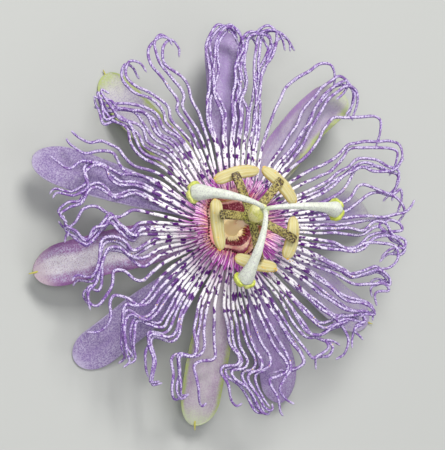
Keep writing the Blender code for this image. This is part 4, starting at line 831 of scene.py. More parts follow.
# %% [markdown]
# A filament is a soft rod about half a millimetre thick, widest in its banded part and tapering to
# its tip. It has eight sides, which is enough for a thread, and its thickness wavers along it. Beside
# the distance along, each point keeps a straightened place: where it would lie if the thread were
# pulled out straight. A pattern laid on that runs along the thread, however it curls.

# %% Grow the long filaments
FILAMENT_ROOT_R = 0.22  # a filament's radius at its root, what it gains in its banded part, and what it loses
FILAMENT_SWELL = 0.10
FILAMENT_THINS = 0.015
FILAMENT_TAPER = 0.08
FILAMENT_POINTS = 118
FILAMENT_SIDES = 8


def filament_radius(travelled):
    """The root's, plus a swelling over the banded part, less a taper where it crimps and at the tip."""
    share = travelled / travelled[:, -1:]
    swell = FILAMENT_SWELL * ease(travelled / 9) - FILAMENT_THINS * ease((travelled - 11) / 9)
    return FILAMENT_ROOT_R + swell - FILAMENT_TAPER * ease((share - 0.75) / 0.25)


def threads(paths, radius, sides, flat=1.0, seed=0):
    """A tube round each path, its radius wavering by a few percent, rounded off at the tip."""
    travelled = travelled_along(paths)
    count, points = travelled.shape
    own = np.random.default_rng(seed).uniform(0, 1, (count, 1))
    waver = 1 + 0.05 * waves(travelled / 0.6, 9 * own + 0 * travelled, seed)
    left = travelled[:, -1:] - travelled
    thick = radius * waver * np.sqrt(np.clip(left / 0.25, 0.02, 1))
    section = round_section(sides)
    grid = carried(paths, section[None, None], thick, thick * flat)
    around = np.broadcast_to(section, (count, points, sides, 2)) * radius[:, :, None, None]
    along = np.broadcast_to((travelled + 60 * own)[:, :, None, None], (count, points, sides, 1))
    straight = np.concatenate((along, around + 17 * own[:, :, None, None]), axis=3)
    share = (travelled / travelled[:, -1:])[:, :, None]
    # crown is how far each point of a section faces up; the banded finish paints a highlight and shade from
    # it.
    return skin(
        grid, travel=travelled[:, :, None], share=share, own=own[:, :, None],
        crown=section[None, None, :, 1], straight=straight,
    )


corona = np.stack([thinned(path, FILAMENT_POINTS) for path in corona_paths()])
lengths = travelled_along(corona)[:, -1]
print(f"{len(corona)} filaments, {lengths.min():.0f} to {lengths.max():.0f} mm long along the thread")

# %% [markdown]
# The bands are what everyone remembers. Each filament is white near the eye of the flower and
# carries irregular violet blots, and because the blots sit at nearly the same distance on every
# filament, they read as broken rings. Farther out they dissolve into a lilac speckle of small raised
# cells. So the paint is a density that depends on the distance along the filament, and a noise on the
# straightened place decides, blot by blot, where the density lets violet through.

# %% The banded finish
# Distance along the filament, and how dense the violet is there
BAND_DENSITY = (
    (0.0, 0.26), (2.6, 0.14), (4.2, 0.42), (5.3, 0.10), (6.7, 0.50), (8.0, 0.08), (9.6, 0.60),
    (11.0, 0.20), (12.3, 0.50), (13.8, 0.32), (16.0, 0.36), (24.0, 0.30),
)


def filament_finish(name):
    """White to lilac with the distance along, with violet where a noise + 0.55 density passes a level; each
    thread's top is lightened as a painted highlight and its sides darkened as painted shade.
    """
    paint = Recipe(name, 0.5, Specular_IOR_Level=0.2)
    travel, share, crown = (paint.value(key) for key in ("travel", "share", "crown"))
    uneven = paint.noise(paint.vector("straight", (0.55, 0.3, 0.3)), 1.0, 1.0)
    at = paint.plus(travel, uneven, 3.6, 0.5)
    density = paint.curve(at, 24.0, BAND_DENSITY)
    blots = paint.noise(paint.vector("straight", (0.95, 1.5, 1.5)), 1.0, 1.0)
    fringe = paint.noise(paint.vector("straight", (4.0, 7.0, 7.0)), 1.0, 1.0)
    blots = paint.plus(blots, fringe, 0.26, 0.5)
    gate = paint.plus(blots, density, 0.55)
    # Painted highlight: a thread's upper side lets a little less violet through.
    gate = paint.calc("SUBTRACT", gate, paint.times(crown, 0.03))
    blot = paint.ramp(gate, 0.695, 0.735)
    white, violet, deep = (0.97, 0.95, 0.98), (0.100, 0.008, 0.18), (0.17, 0.050, 0.32)
    streak = paint.noise(paint.vector("straight", (0.4, 5.5, 5.5)), 1.0, 1.0)
    rosy = paint.times(paint.ramp(at, 1.6, 6.4, 1.0, 0.0), paint.ramp(streak, 0.40, 0.52))
    near = paint.mix(rosy, white, (0.52, 0.09, 0.50))
    near = paint.mix(blot, near, violet)
    edge_specks = paint.noise(paint.vector("straight", (3.0, 6.0, 6.0)), 1.0, 1.0)
    # Violet specks, real, pushed to each thread's sides and underside as painted shade.
    side_specks_painted_shade = paint.calc("SUBTRACT", edge_specks, paint.times(crown, 0.16))
    near = paint.mix(paint.ramp(side_specks_painted_shade, 0.50, 0.55, 0.0, 0.7), near, (0.24, 0.10, 0.42))
    cells = paint.noise(paint.vector("straight", (4.0, 5.0, 5.0)), 1.0, 1.0, 0.6)
    # Pale lilac cells, real, made paler on each thread's top as a painted highlight, with darker lilac on its
    # sides as painted shade.
    high = paint.plus(cells, crown, 0.26)
    high = paint.calc("SUBTRACT", high, paint.ramp(share, 0.5, 0.95, 0.0, 0.04))
    lilac = paint.mix(paint.ramp(high, 0.635, 0.70), (0.145, 0.060, 0.33), (0.76, 0.69, 0.88))
    lilac = paint.mix(paint.ramp(share, 0.45, 0.9, 0.0, 0.30), lilac, (0.36, 0.23, 0.60))
    lilac = paint.mix(paint.times(blot, 0.7), lilac, deep)
    outward = paint.ramp(at, 8.0, 13.5)
    colour = paint.mix(outward, near, lilac)
    colour = paint.mix(paint.ramp(share, 0.96, 1.0, 0.0, 0.5), colour, (0.70, 0.64, 0.82))
    bumps = paint.times(cells, paint.ramp(travel, 4.0, 14.0, 0.3, 1.0))
    return paint.done(colour, bumps, 0.12, 0.7)


banded = filament_finish("corona_banded")
radius = filament_radius(travelled_along(corona))
for row, name in enumerate(("Corona_lower_row", "Corona_upper_row")):
    shape = threads(corona[row::2], radius[row::2], FILAMENT_SIDES, 0.9, CORONA_SEED + row)
    piece(name, shape, banded, "corona", "corona")

# %% [markdown]
# The filaments aren't stuck into the flower one by one. They grow out of one low ring on the rim of
# the cup, and the short filaments out of another just above it. A turned profile gives both rings.
# The short ones are packed tightly, rise at a slant and are magenta with pale tips, so that the disc
# seems to glow from inside.
# The opening inside the corona isn't round but softly five-sided, like the bud that it opened from, and
# a little off the axis. One function moves points outwards by a cosine of five times their direction and
# a cosine of the direction itself. The inner edges of the rings, the roots of the short filaments, the
# lid and its stubs all go through it, so that they stay together. The cup below them stays round.

# %% The rings and the short filaments
RIM_Z = 13.4
CORONA_FOOT_Z = RIM_Z + GAP
CORONA_TOP_Z = 15.1
INNER_ROW_Z = CORONA_TOP_Z + GAP
CUP_BORE_R = 5.2
SHORT_FILAMENTS = 124
SHORT_POINTS = 12
SHORT_ROOT_R = 5.65
SHORT_LENGTH = 3.8
SHORT_RISE = 12  # degrees
SHORT_R = 0.15
SHORT_SWELL = 0.035
MOUTH_CORNERS = 0.09  # how far out a corner of the opening stands, as a share of its reach
MOUTH_CORNER_AT = math.radians(204)
MOUTH_SHIFT = 0.6  # how far the opening stands off the axis
MOUTH_SHIFT_TO = math.radians(235)


def five_sided(points, hold=1.0):
    """Moves points outwards by hold x (corners reach cos 5 (turn - a) + shift cos (turn - b))."""
    turn, reach = np.arctan2(points[..., 1], points[..., 0]), np.hypot(points[..., 0], points[..., 1])
    corners = MOUTH_CORNERS * reach * np.cos(5 * (turn - MOUTH_CORNER_AT))
    out = hold * (corners + MOUTH_SHIFT * np.cos(turn - MOUTH_SHIFT_TO))
    return points + (out / reach)[..., None] * points * np.array((1, 1, 0))


def ring(profile, segments):
    """(radius cos turn, radius sin turn, height) for every point of a closed profile at every turn."""
    profile = np.asarray(profile, float)
    return hoop(around_axis(profile[None, :, 0], turns(segments)[:, None], profile[None, :, 1]))


def hoop(grid, **values):
    """Faces over (turn, place) points that close both ways, so that there are no ends."""
    number = np.arange(grid.shape[0] * grid.shape[1]).reshape(grid.shape[:2])
    after, beside = np.roll(number, -1, axis=0), np.roll(number, -1, axis=1)
    quads = np.stack((number, after, np.roll(after, -1, axis=1), beside), axis=-1).reshape(-1, 4)
    fields = {name: np.broadcast_to(field, number.shape).ravel() for name, field in values.items()}
    return {
        "points": grid.reshape(-1, 3), "quads": quads, "triangles": np.zeros((0, 3), int), "values": fields,
    }


def rounded(profile, times=2):
    """Chaikin's rule: two corners for each, a quarter and three quarters of the way to the next."""
    profile = np.asarray(profile, float)
    for _ in range(times):
        after = np.roll(profile, -1, axis=0)
        near, far = 0.75 * profile + 0.25 * after, 0.25 * profile + 0.75 * after
        profile = np.stack((near, far), axis=1).reshape(-1, 2)
    return profile


def short_finish(name):
    """Red to magenta along a dark thread, salmon to pink along a pale one, by streaks, with dark specks."""
    paint = Recipe(name, 0.5, Specular_IOR_Level=0.35)
    share, own = paint.value("share"), paint.value("own")
    streak = paint.noise(paint.vector("straight", (0.5, 5.5, 5.5)), 1.0, 2.0)
    speck = paint.noise(paint.vector("straight", (1.6, 3.4, 3.4)), 1.0, 1.0)
    tint = paint.plus(streak, own, 0.30, 0.5)
    dark = paint.mix(paint.ramp(share, 0.05, 0.45), (0.72, 0.10, 0.22), (0.47, 0.07, 0.46))
    pale = paint.mix(paint.ramp(share, 0.15, 0.75), (0.98, 0.58, 0.58), (0.90, 0.58, 0.86))
    colour = paint.mix(paint.ramp(tint, 0.40, 0.52), dark, pale)
    colour = paint.mix(paint.ramp(speck, 0.57, 0.63), colour, (0.34, 0.05, 0.34))
    return paint.done(colour, streak, 0.08, 0.5)


def short_paths():
    """Straight threads at an even pitch, each with its own length and slant, bowed up by a sine."""
    rng = np.random.default_rng(CORONA_SEED + 1)
    uneven = rng.uniform(-0.2, 0.2, SHORT_FILAMENTS)
    turn = 2 * math.pi / SHORT_FILAMENTS * (np.arange(SHORT_FILAMENTS) + uneven)
    rise = np.radians(SHORT_RISE + rng.uniform(-7, 7, SHORT_FILAMENTS))[:, None]
    length = SHORT_LENGTH * rng.uniform(0.8, 1.08, SHORT_FILAMENTS)[:, None]
    share = np.linspace(0, 1, SHORT_POINTS)[None, :]
    reach = SHORT_ROOT_R + length * share * np.cos(rise)
    z = INNER_ROW_Z + 0.74 + length * share * np.sin(rise) + 0.22 * np.sin(math.pi * share)
    turn = turn[:, None] + 0.012 * np.sin(3 * share + 9 * rise)
    return five_sided(around_axis(reach, turn, z), 1 - 0.9 * share)


short = short_paths()
short_r = SHORT_R + SHORT_SWELL * ease(np.linspace(0, 1.4, SHORT_POINTS))[None, :] * np.ones((len(short), 1))
magenta = short_finish("short_filament_magenta")
piece("Short_filaments", threads(short, short_r, 6, 1.0, 5), magenta, "short_corona", "short_corona")

foot = (
    (5.3, CORONA_FOOT_Z), (7.3, CORONA_FOOT_Z), (7.5, CORONA_FOOT_Z + 0.6),
    (7.0, CORONA_TOP_Z), (5.3, CORONA_TOP_Z),
)
collar = ((CUP_BORE_R, INNER_ROW_Z), (6.4, INNER_ROW_Z), (6.2, INNER_ROW_Z + 0.55), (5.4, INNER_ROW_Z + 0.65))
paint = Recipe("ring_rose", 0.5)
cloud = paint.noise(paint.place, 900.0, 3.0)
rose = paint.mix(paint.ramp(cloud, 0.4, 0.6), (0.76, 0.22, 0.22), (0.95, 0.64, 0.50))
ring_rose = paint.done(rose, cloud, 0.1, 0.4)
# The last number is where the move has faded out, from 5.4 mm on, and the short ones keep nearly all of it
FEET = (("Corona_foot", foot, "corona", 6.8), ("Short_filament_foot", collar, "short_corona", 99))
for name, profile, slot, outer in FEET:
    shape = ring(rounded(profile), 160)
    reach = np.hypot(shape["points"][:, 0], shape["points"][:, 1])
    shape["points"] = five_sided(shape["points"], 1 - ease((reach - 5.4) / (outer - 5.4)))
    piece(name, shape, ring_rose, slot)

# %% [markdown]
# Inside the corona a pleated membrane, the operculum, closes the nectar in. It slopes inwards and
# down, rose-coloured on its shoulder, and ends in a ragged frill so dark that it looks like velvet.
# Round its outer edge stands a row of tiny dark stubs. The membrane is a turned section whose radius
# and height are pushed in and out by the pleats, more and more towards the frill.

# %% The operculum and its frill
PLEATS = 34
FRILL_TURNS = 384
WIDE_FRILL_AT = math.radians(165)  # the dark frill is widest on this side


def operculum():
    """Radius + pleat x cos(pleats x turn), with the pleat growing from the shoulder to the frill."""
    top = np.array((
        (5.1, 14.62), (4.95, 14.80), (4.6, 14.76), (4.25, 14.62), (3.9, 14.48),
        (3.6, 14.42), (3.3, 14.32), (3.0, 14.12), (2.72, 13.85), (2.5, 13.5),
    ))
    deep = np.linspace(0, 1, 10)
    at = np.linspace(0, 1, 34)
    upper = np.stack([np.interp(at, deep, top[:, k]) for k in (0, 1)], axis=1)
    lower = upper[::-1] - np.array((0.0, 0.16))
    profile = np.concatenate((upper, lower))
    inward = np.concatenate((at, at[::-1]))[None, :]
    turn = turns(FRILL_TURNS)[:, None]
    x, y = 9 * np.cos(turn) + 0 * inward, 9 * np.sin(turn) + 0 * inward
    ragged = waves(x * 1.6, y * 1.6, 3) + 0.7 * waves(x * 3.1, y * 3.1, 4)
    frill = ease((inward - 0.45) / 0.55)
    pleat = (0.03 + 0.16 * frill) * np.cos(PLEATS * turn + 0.5 * waves(x, y, 5))
    radius = profile[None, :, 0] + pleat - 0.16 * frill * ragged
    height = profile[None, :, 1] + 1.1 * pleat + 0.13 * frill * waves(x * 2.2, y * 2.2, 6)
    grid = five_sided(around_axis(radius, turn, height), ease((radius - 3.4) / 1.6))
    return hoop(grid, inward=inward + 0.14 * np.cos(turn - WIDE_FRILL_AT))


def operculum_finish():
    """Rose on the shoulder and maroon from a third of the way in, with pale flecks on the maroon."""
    paint = Recipe("operculum_rose_and_maroon", 0.42, Sheen_Weight=0.2, Sheen_Roughness=0.4)
    inward = paint.value("inward")
    coarse = paint.noise(paint.place, 700.0, 3.0, 0.6)
    fine = paint.noise(paint.place, 3200.0, 2.0)
    at = paint.plus(inward, coarse, 0.35, 0.5)
    shoulder = paint.mix(paint.ramp(coarse, 0.4, 0.62), (0.84, 0.36, 0.36), (0.95, 0.72, 0.55))
    colour = paint.mix(paint.ramp(at, 0.04, 0.16, 1.0, 0.0), shoulder, (0.30, 0.03, 0.10))
    colour = paint.mix(paint.ramp(at, 0.34, 0.42), colour, (0.20, 0.005, 0.034))
    flecks = paint.times(paint.ramp(fine, 0.57, 0.63, 0.0, 0.65), paint.ramp(at, 0.36, 0.48))
    colour = paint.mix(flecks, colour, (0.78, 0.34, 0.38))
    return paint.done(colour, fine, 0.08, 0.6)


maroon = operculum_finish()
piece("Operculum", operculum(), maroon, "operculum", "operculum")

# %% The stubs round the operculum
STUBS = 72
STUB_REACH = 5.62
STUB_Z = 15.8
STUB_HEIGHT = 0.95
number = np.arange(STUBS)
turn = 2 * math.pi / STUBS * number + 0.02 * np.sin(7.0 * number)
share = np.linspace(0, 1, 6)
reach = STUB_REACH + 0.05 * np.sin(2.3 * number)[:, None] - 0.10 * share[None, :]
stub_z = STUB_Z + STUB_HEIGHT * share[None, :] * (0.9 + 0.1 * np.sin(5.1 * number))[:, None]
stub_paths = five_sided(around_axis(reach, turn[:, None], stub_z))
stub_r = np.array(((0.12, 0.12, 0.14, 0.18, 0.19, 0.10),))
stub_grid = carried(stub_paths, round_section(8)[None, None], stub_r, stub_r, up=(0, 1, 0.02))
paint = Recipe("stub_maroon", 0.45)
fleck = paint.noise(paint.place, 2500.0, 2.0)
dark = paint.mix(paint.ramp(fleck, 0.5, 0.65), (0.075, 0.005, 0.018), (0.22, 0.02, 0.06))
stub_maroon = paint.done(dark, fleck, 0.05, 0.5)
piece("Operculum_stubs", skin(stub_grid), stub_maroon, "operculum")

# %% [markdown]
# The cup under everything is a green bowl, and seen from above its floor is cream with fine red
# veins, with a low lip, the limen, round the foot of the column. One turned profile holds all of it,
# from the pole below, up the outside, over the rim and down to the pole inside. The finish tells
# outside from inside by a value kept along the profile. The inside also gives out a very little warm
# light of its own, a painted glow that lifts the shade down in the cup.

# %% The cup
CUP_FOOT_Z = 7.6
cup_profile = np.array((
    (0.02, CUP_FOOT_Z), (1.9, CUP_FOOT_Z), (2.9, CUP_FOOT_Z + 0.15), (3.9, CUP_FOOT_Z + 0.7),
    (4.8, CUP_FOOT_Z + 1.35), (5.5, CUP_FOOT_Z + 2.2), (6.0, CUP_FOOT_Z + 3.1), (CUP_R, CUP_FOOT_Z + 4.0),
    (CUP_R, RIM_Z - 0.25), (6.0, RIM_Z), (5.4, RIM_Z), (CUP_BORE_R, RIM_Z - 0.2),
    (5.0, 12.2), (4.6, 11.6), (4.2, 11.3), (2.98, 11.12), (2.9, 12.0),
    (2.75, 12.7), (2.45, 12.98), (2.0, 13.12), (1.6, 13.2), (1.45, 13.1), (1.42, 11.05), (0.02, 11.0),
))
INSIDE_FROM = 10  # the profile's point where the inside starts
CUP_TURNS = 160
CUP_RIBS = 10
at = length_along(cup_profile)
fine = np.linspace(0, at[-1], 110)
outline = np.stack([np.interp(fine, at, cup_profile[:, k]) for k in (0, 1)], axis=1)
turn = turns(CUP_TURNS)[None, :]
inside = (fine > at[INSIDE_FROM])[:, None].astype(float)
radius, height = outline[:, :1], outline[:, 1:]
fade = ease((radius - 1.5) / 2) * ease((CUP_R - 0.01 - radius) / 0.8)
ribs = 0.10 * (1 - inside) * np.cos(CUP_RIBS * turn) * fade
lip = 0.07 * inside * np.cos(26 * turn + np.sin(3 * turn)) * np.exp(-(((radius - 2.45) / 0.3) ** 2))
cup_grid = around_axis(radius + ribs, turn, height + lip)[None]

PAINTED_GLOW = (1.0, 0.80, 0.16, 1.0)  # painted glow, light that no lamp gives, which lifts the shade in the cup and on the column's foot
PAINTED_GLOW_STRENGTH = 0.13
paint = Recipe("cup_green_and_cream", 0.5, Specular_IOR_Level=0.4, Emission_Color=PAINTED_GLOW)
cloud = paint.noise(paint.place, 420.0, 3.0)
veins = paint.noise(paint.vector("straight", (1.0, 0.12, 1.0)), 2.2, 2.0)
green = paint.mix(paint.ramp(cloud, 0.4, 0.65), (0.26, 0.38, 0.11), (0.46, 0.56, 0.24))
cream = paint.mix(paint.ramp(veins, 0.58, 0.68, 0.0, 0.8), (0.96, 0.84, 0.58), (0.62, 0.20, 0.14))
is_inside = paint.value("inside")
# Painted glow: the inside of the cup gives out a little warm light of its own, which lifts its shade.
paint.put(paint.shader.inputs["Emission Strength"], paint.times(is_inside, PAINTED_GLOW_STRENGTH))
cup_finish = paint.done(paint.mix(is_inside, green, cream), cloud, 0.12, 0.4)
cup_straight = np.stack(np.broadcast_arrays(16 * turn, fine[:, None], 0.0), axis=2)
cup = skin(cup_grid, inside=inside[None], straight=cup_straight[None])
piece("Cup", cup, cup_finish, "cup", "calyx_cup")

# %% [markdown]
# The column, or androgynophore, lifts the fertile parts above the corona, so that a bee's back brushes
# them while it drinks. It ends in five flat arms, one for each stamen, strap-shaped and thickly dotted
# with purple-brown. The arms and the column are carried sections in one piece; the dots are the middles
# of the cells of a Voronoi pattern, whose size and gaps are even without being regular. The column's
# foot is cream with fine red lines, and gives out the same painted glow as the cup, which lifts its shade.

# %% The column and its five arms
HUB_Z = 23.4
COLUMN_R = 1.05
COLUMN_FOOT_Z = 11.3
# Direction, reach and height of the arm's end, then the two ends of its anther as (reach, direction)
STAMENS = (
    (172.0, 8.5, 23.6, (9.2, 194.0), (9.3, 135.0)),
    (109.5, 9.3, 23.6, (10.0, 132.0), (9.8, 78.6)),
    (244.0, 7.1, 25.4, (7.5, 218.0), (9.1, 286.0)),
    (32.5, 9.2, 23.8, (8.7, 64.0), (10.0, 13.0)),
    (335.5, 8.5, 23.8, (8.0, 307.0), (10.3, 359.0)),
)
ARM_HALF_WIDTH = 0.85
ARM_HALF_THICK = 0.35
ARM_POINTS = 44
# The post's height, and its radius there as a multiple of COLUMN_R
POST_HEIGHTS = (COLUMN_FOOT_Z, 13.2, 15.0, 19.0, 21.5, 22.6, 23.1, HUB_Z)
POST_WIDTHS = (1.6, 1.5, 1.1, 1.0, 1.1, 1.45, 1.62, 1.45)
share = np.linspace(0, 1, ARM_POINTS)


def arm_path(direction, reach, z):
    """A Bezier curve out of the hub, over a shoulder and down to the arm's end."""
    shoulder, bend = polar(direction, 3.2, HUB_Z + 0.35), polar(direction, reach * 0.7, z + 0.35)
    return bezier(polar(direction, 0.4, HUB_Z - 0.55), shoulder, bend, polar(direction, reach, z), share)


def strap_section(sides):
    """|x|^3.4 + |y|^3.4 = 1, a rounded oblong, with a shallow trough along its upper face."""
    corner = round_section(sides)
    shape = np.sign(corner) * np.abs(corner) ** (2 / 3.4)
    shape[:, 1] -= 0.28 * (shape[:, 1] > 0) * np.exp(-((shape[:, 0] / 0.45) ** 2))
    return shape


arms = np.stack([arm_path(*stamen[:3]) for stamen in STAMENS])
width = np.interp(share, (0, 0.15, 0.5, 0.9, 0.975, 1), (0.95, 0.92, 0.95, 1.02, 0.94, 0.7))
width = width * ARM_HALF_WIDTH
thick = np.interp(share, (0, 0.93, 1), (1.1, 0.95, 0.6)) * ARM_HALF_THICK
sway = 1 + 0.02 * waves(*np.broadcast_arrays(3 * share[None, :], 5.0 * np.arange(5)[:, None]), 8)
arm_grid = carried(arms, strap_section(28)[None, None], width * sway, thick * sway)
stages = (COLUMN_FOOT_Z, 12.0, 15.0, 19.0, 21.5, 22.6, HUB_Z)
heights = np.interp(np.linspace(0, 1, 60), np.linspace(0, 1, len(stages)), stages)
radii = COLUMN_R * np.interp(heights, POST_HEIGHTS, POST_WIDTHS)
post = np.stack((0 * heights, 0 * heights, heights), axis=1)[None]
post_grid = carried(post, round_section(32)[None, None], radii[None], radii[None], up=(0, 1, 0))

paint = Recipe("arm_green_dotted", 0.5, Specular_IOR_Level=0.4, Emission_Color=PAINTED_GLOW)
warp = paint.noise(paint.place, 1500.0, 2.0)
dots = paint.calc("ADD", paint.cells(paint.place, 3500.0), paint.times(warp, 0.30))
ends = paint.times(paint.ramp(paint.value("share"), 0.6, 1.0), 0.14)
green = paint.mix(paint.ramp(warp, 0.38, 0.6), (0.27, 0.22, 0.05), (0.45, 0.38, 0.14))
green = paint.mix(paint.ramp(paint.value("share"), 0.1, 0.5, 0.5, 0.0), green, (0.42, 0.46, 0.12))
spotted = paint.ramp(paint.calc("SUBTRACT", dots, ends), 0.54, 0.64, 1.0, 0.0)
dotted = paint.mix(spotted, green, (0.065, 0.035, 0.028))
post_share = paint.value("post")
upright = paint.node("ShaderNodeVectorMath", {0: paint.place, 1: (1.0, 1.0, 0.35)}, operation="MULTIPLY")
lines = paint.noise(upright, 1500.0, 2.0)
reddened = paint.times(paint.ramp(lines, 0.48, 0.56), paint.ramp(post_share, 0.40, 0.75))
pale = paint.mix(reddened, (0.97, 0.85, 0.60), (0.36, 0.10, 0.06))
dotted = paint.mix(paint.ramp(post_share, 0.80, 0.97), pale, dotted)
# Painted glow: full on the lower half of the post, fading out by 0.85 of its height and none on the arms.
paint.put(paint.shader.inputs["Emission Strength"], paint.ramp(post_share, 0.5, 0.85, PAINTED_GLOW_STRENGTH, 0.0))
arm_finish = paint.done(dotted, dots, 0.06, 0.4)
post_rise = (heights - heights[0]) / (heights[-1] - heights[0])
column = merged([
    skin(post_grid, share=np.zeros((1, 1, 1)), post=post_rise[None, :, None]),
    skin(arm_grid, share=share[None, :, None], post=np.ones((1, 1, 1))),
])
piece("Stamen_column", column, arm_finish, "stamen", "stamen_column", sharp=60)

# %% [markdown]
# An anther hangs under the tip of each arm by its middle, free to rock. It is two long pollen cases
# side by side, each with the slit it opened along, so its section is four-lobed. The section is a
# rounded oblong from which three grooves are taken with a smooth bell curve, and the ends are
# rounded by a high power of the distance from the middle.

# %% The anthers
ANTHER_HALF_WIDTH = 1.22
ANTHER_TAPERS = (0.12, -0.05, 0.22, -0.2, 0.2)  # how much narrower the second end is than the first
ANTHER_HALF_THICK = 0.75
ANTHER_POINTS = 64
ANTHER_SIDES = 48


def anther_path(stamen, share):
    """A line between the anther's ends, bowed outwards and upwards by a sine."""
    _, _, arm_z, (reach_a, direction_a), (reach_b, direction_b) = stamen
    z = arm_z - ARM_HALF_THICK - GAP - ANTHER_HALF_THICK
    a, b = polar(direction_a, reach_a, z), polar(direction_b, reach_b, z)
    outward = unit((a + b) / 2 * np.array((1, 1, 0)))
    bow = np.sin(math.pi * share)[:, None]
    return a + share[:, None] * (b - a) + outward * 0.45 * bow - np.array((0, 0, 0.5)) * (1 - bow)


corner = round_section(ANTHER_SIDES)
oblong = np.sign(corner) * np.abs(corner) ** 0.8
side_grooves = 0.07 * np.exp(-(((np.abs(oblong[:, 0]) - 0.52) / 0.09) ** 2))
grooves = 0.20 * np.exp(-((oblong[:, 0] / 0.10) ** 2)) + side_grooves
anther_section = oblong * np.stack((np.ones(ANTHER_SIDES), 1 - grooves), axis=1)
everywhere = (1, ANTHER_POINTS, ANTHER_SIDES)
slit, beside = (np.broadcast_to(field, everywhere) for field in (grooves, np.abs(oblong[:, 0])))
anther_share = (1 - np.cos(math.pi * np.linspace(0.012, 0.988, ANTHER_POINTS))) / 2
full = (1 - np.abs(2 * anther_share - 1) ** 8) ** 0.55 * (0.84 + 0.16 * np.sin(math.pi * anther_share))

paint = Recipe("anther_cream", 0.58, Specular_IOR_Level=0.3, Sheen_Weight=0.15)
powder = paint.noise(paint.place, 2600.0, 3.0, 0.7)
cloud = paint.noise(paint.place, 500.0, 2.0)
aside = paint.value("aside")
stripes = paint.calc("SINE", paint.times(aside, 11.0))
end = paint.calc("ABSOLUTE", paint.calc("SUBTRACT", paint.value("share"), 0.5))
cream = paint.mix(paint.ramp(cloud, 0.4, 0.65), (0.62, 0.55, 0.25), (0.58, 0.49, 0.20))
cream = paint.mix(paint.ramp(stripes, -0.2, 0.8, 0.0, 0.35), cream, (0.74, 0.71, 0.50))
in_slit = paint.times(paint.ramp(paint.value("slit"), 0.03, 0.25), 0.5)
cream = paint.mix(in_slit, cream, (0.58, 0.50, 0.20))
cream = paint.mix(paint.ramp(aside, 0.84, 0.98, 0.0, 0.6), cream, (0.82, 0.62, 0.16))
dust = paint.times(paint.ramp(end, 0.44, 0.5, 0.02, 0.7), paint.ramp(powder, 0.47, 0.58))
cream = paint.mix(dust, cream, (0.92, 0.60, 0.05))
anther_cream = paint.done(cream, powder, 0.07, 0.6)

for number, stamen in enumerate(STAMENS, 1):
    path = anther_path(stamen, anther_share)[None]
    wobble = 1 + 0.03 * waves(9 * anther_share, 0 * anther_share + 3 * number, 40 + number)
    wobble = wobble - ANTHER_TAPERS[number - 1] * (anther_share - 0.5)
    wide, thick = ANTHER_HALF_WIDTH * full * wobble, ANTHER_HALF_THICK * full
    anther = carried(path, anther_section[None, None], wide[None], thick[None])
    shape = skin(anther, share=anther_share[None, :, None], slit=slit, aside=beside)
    piece(f"Anther_{number}", shape, anther_cream, "anther", f"anther_{number}")

# %% [markdown]
# The ovary is an egg on top of the column, smooth and yellow-green, and the three styles leave its top
# and arch down to the height of the stamens. A style is thin and greenish where it starts and swells
# to a club of finely freckled white. Each one carries a stigma, a lime-green cap with two lobes and a
# damp, grainy face.

# %% The ovary
STYLES_Z = 31.1
OVARY_R = 1.6
OVARY_POINTS = 56
OVARY_SIDES = 48
share = np.linspace(0.03, 0.995, OVARY_POINTS)
low, high = HUB_Z + GAP - 0.2, STYLES_Z - 2.2
egg_z = low + (high - low) * (1 - np.cos(math.pi * share)) / 2
egg_r = OVARY_R * np.sin(math.pi * share) ** 0.9 + 0.12
egg_path = np.stack((0 * egg_z, 0 * egg_z, egg_z), axis=1)[None]
seams = 1 + 0.035 * np.cos(3 * turns(OVARY_SIDES))
egg_section = (round_section(OVARY_SIDES) * seams[:, None])[None, None]
egg = carried(egg_path, egg_section, egg_r[None], egg_r[None], up=(0, 1, 0))
paint = Recipe("ovary_yellow_green", 0.5, Specular_IOR_Level=0.25)
cloud = paint.noise(paint.place, 900.0, 3.0)
spots = paint.noise(paint.place, 3500.0, 1.0)
skin_green = paint.mix(paint.ramp(cloud, 0.4, 0.62), (0.86, 0.86, 0.24), (0.97, 0.95, 0.50))
spotted = paint.mix(paint.ramp(spots, 0.62, 0.7), skin_green, (0.56, 0.60, 0.16))
ovary_finish = paint.done(spotted, cloud, 0.08, 0.4)
piece("Ovary", skin(egg), ovary_finish, "ovary", "ovary")

# %% The styles
# Direction, reach of the end, height of the arch's middle, height of the end
STYLES = (
    (224.5, 12.2, 30.3, 25.9),
    (63.5, 14.6, 30.2, 27.6),
    (316.0, 12.5, 30.0, 25.9),
)
STYLE_SHARES = (0, 0.3, 0.5, 0.7, 0.83, 0.9, 0.97, 1)
STYLE_RADII = (0.45, 0.45, 0.57, 0.83, 1.0, 1.25, 1.56, 1.62)  # at those shares of a style's length
STYLE_POINTS = 90
STYLE_SIDES = 32


def style_path(style, share):
    """A Bezier curve up from the ovary, over, and down in an arch to the stigma."""
    direction, reach, arch_z, end_z = style
    foot, bend = polar(direction, 0.35, STYLES_Z - 2.0), polar(direction, 0.7, STYLES_Z + 0.6)
    arch, end = polar(direction, reach * 0.66, arch_z + 2.2), polar(direction, reach, end_z)
    return bezier(foot, bend, arch, end, share)


share = np.linspace(0, 1, STYLE_POINTS)
swelling = np.pad(np.interp(share, STYLE_SHARES, STYLE_RADII), 4, "edge")
style_r = np.convolve(swelling, np.ones(9) / 9, "valid")
furrow = 1 + 0.045 * np.cos(5 * turns(STYLE_SIDES) + 1.0)
style_parts = []
for number, style in enumerate(STYLES):
    line = style_path(style, share)[None]
    bumpy = style_r * (1 + 0.035 * waves(12 * share, 0 * share + 5 * number, 60 + number))
    section = (round_section(STYLE_SIDES) * furrow[:, None])[None, None]
    tube = carried(line, section, bumpy[None], bumpy[None] * 0.94, up=polar(style[0] + 90, 1, 0))
    style_parts.append(skin(tube, share=share[None, :, None]))

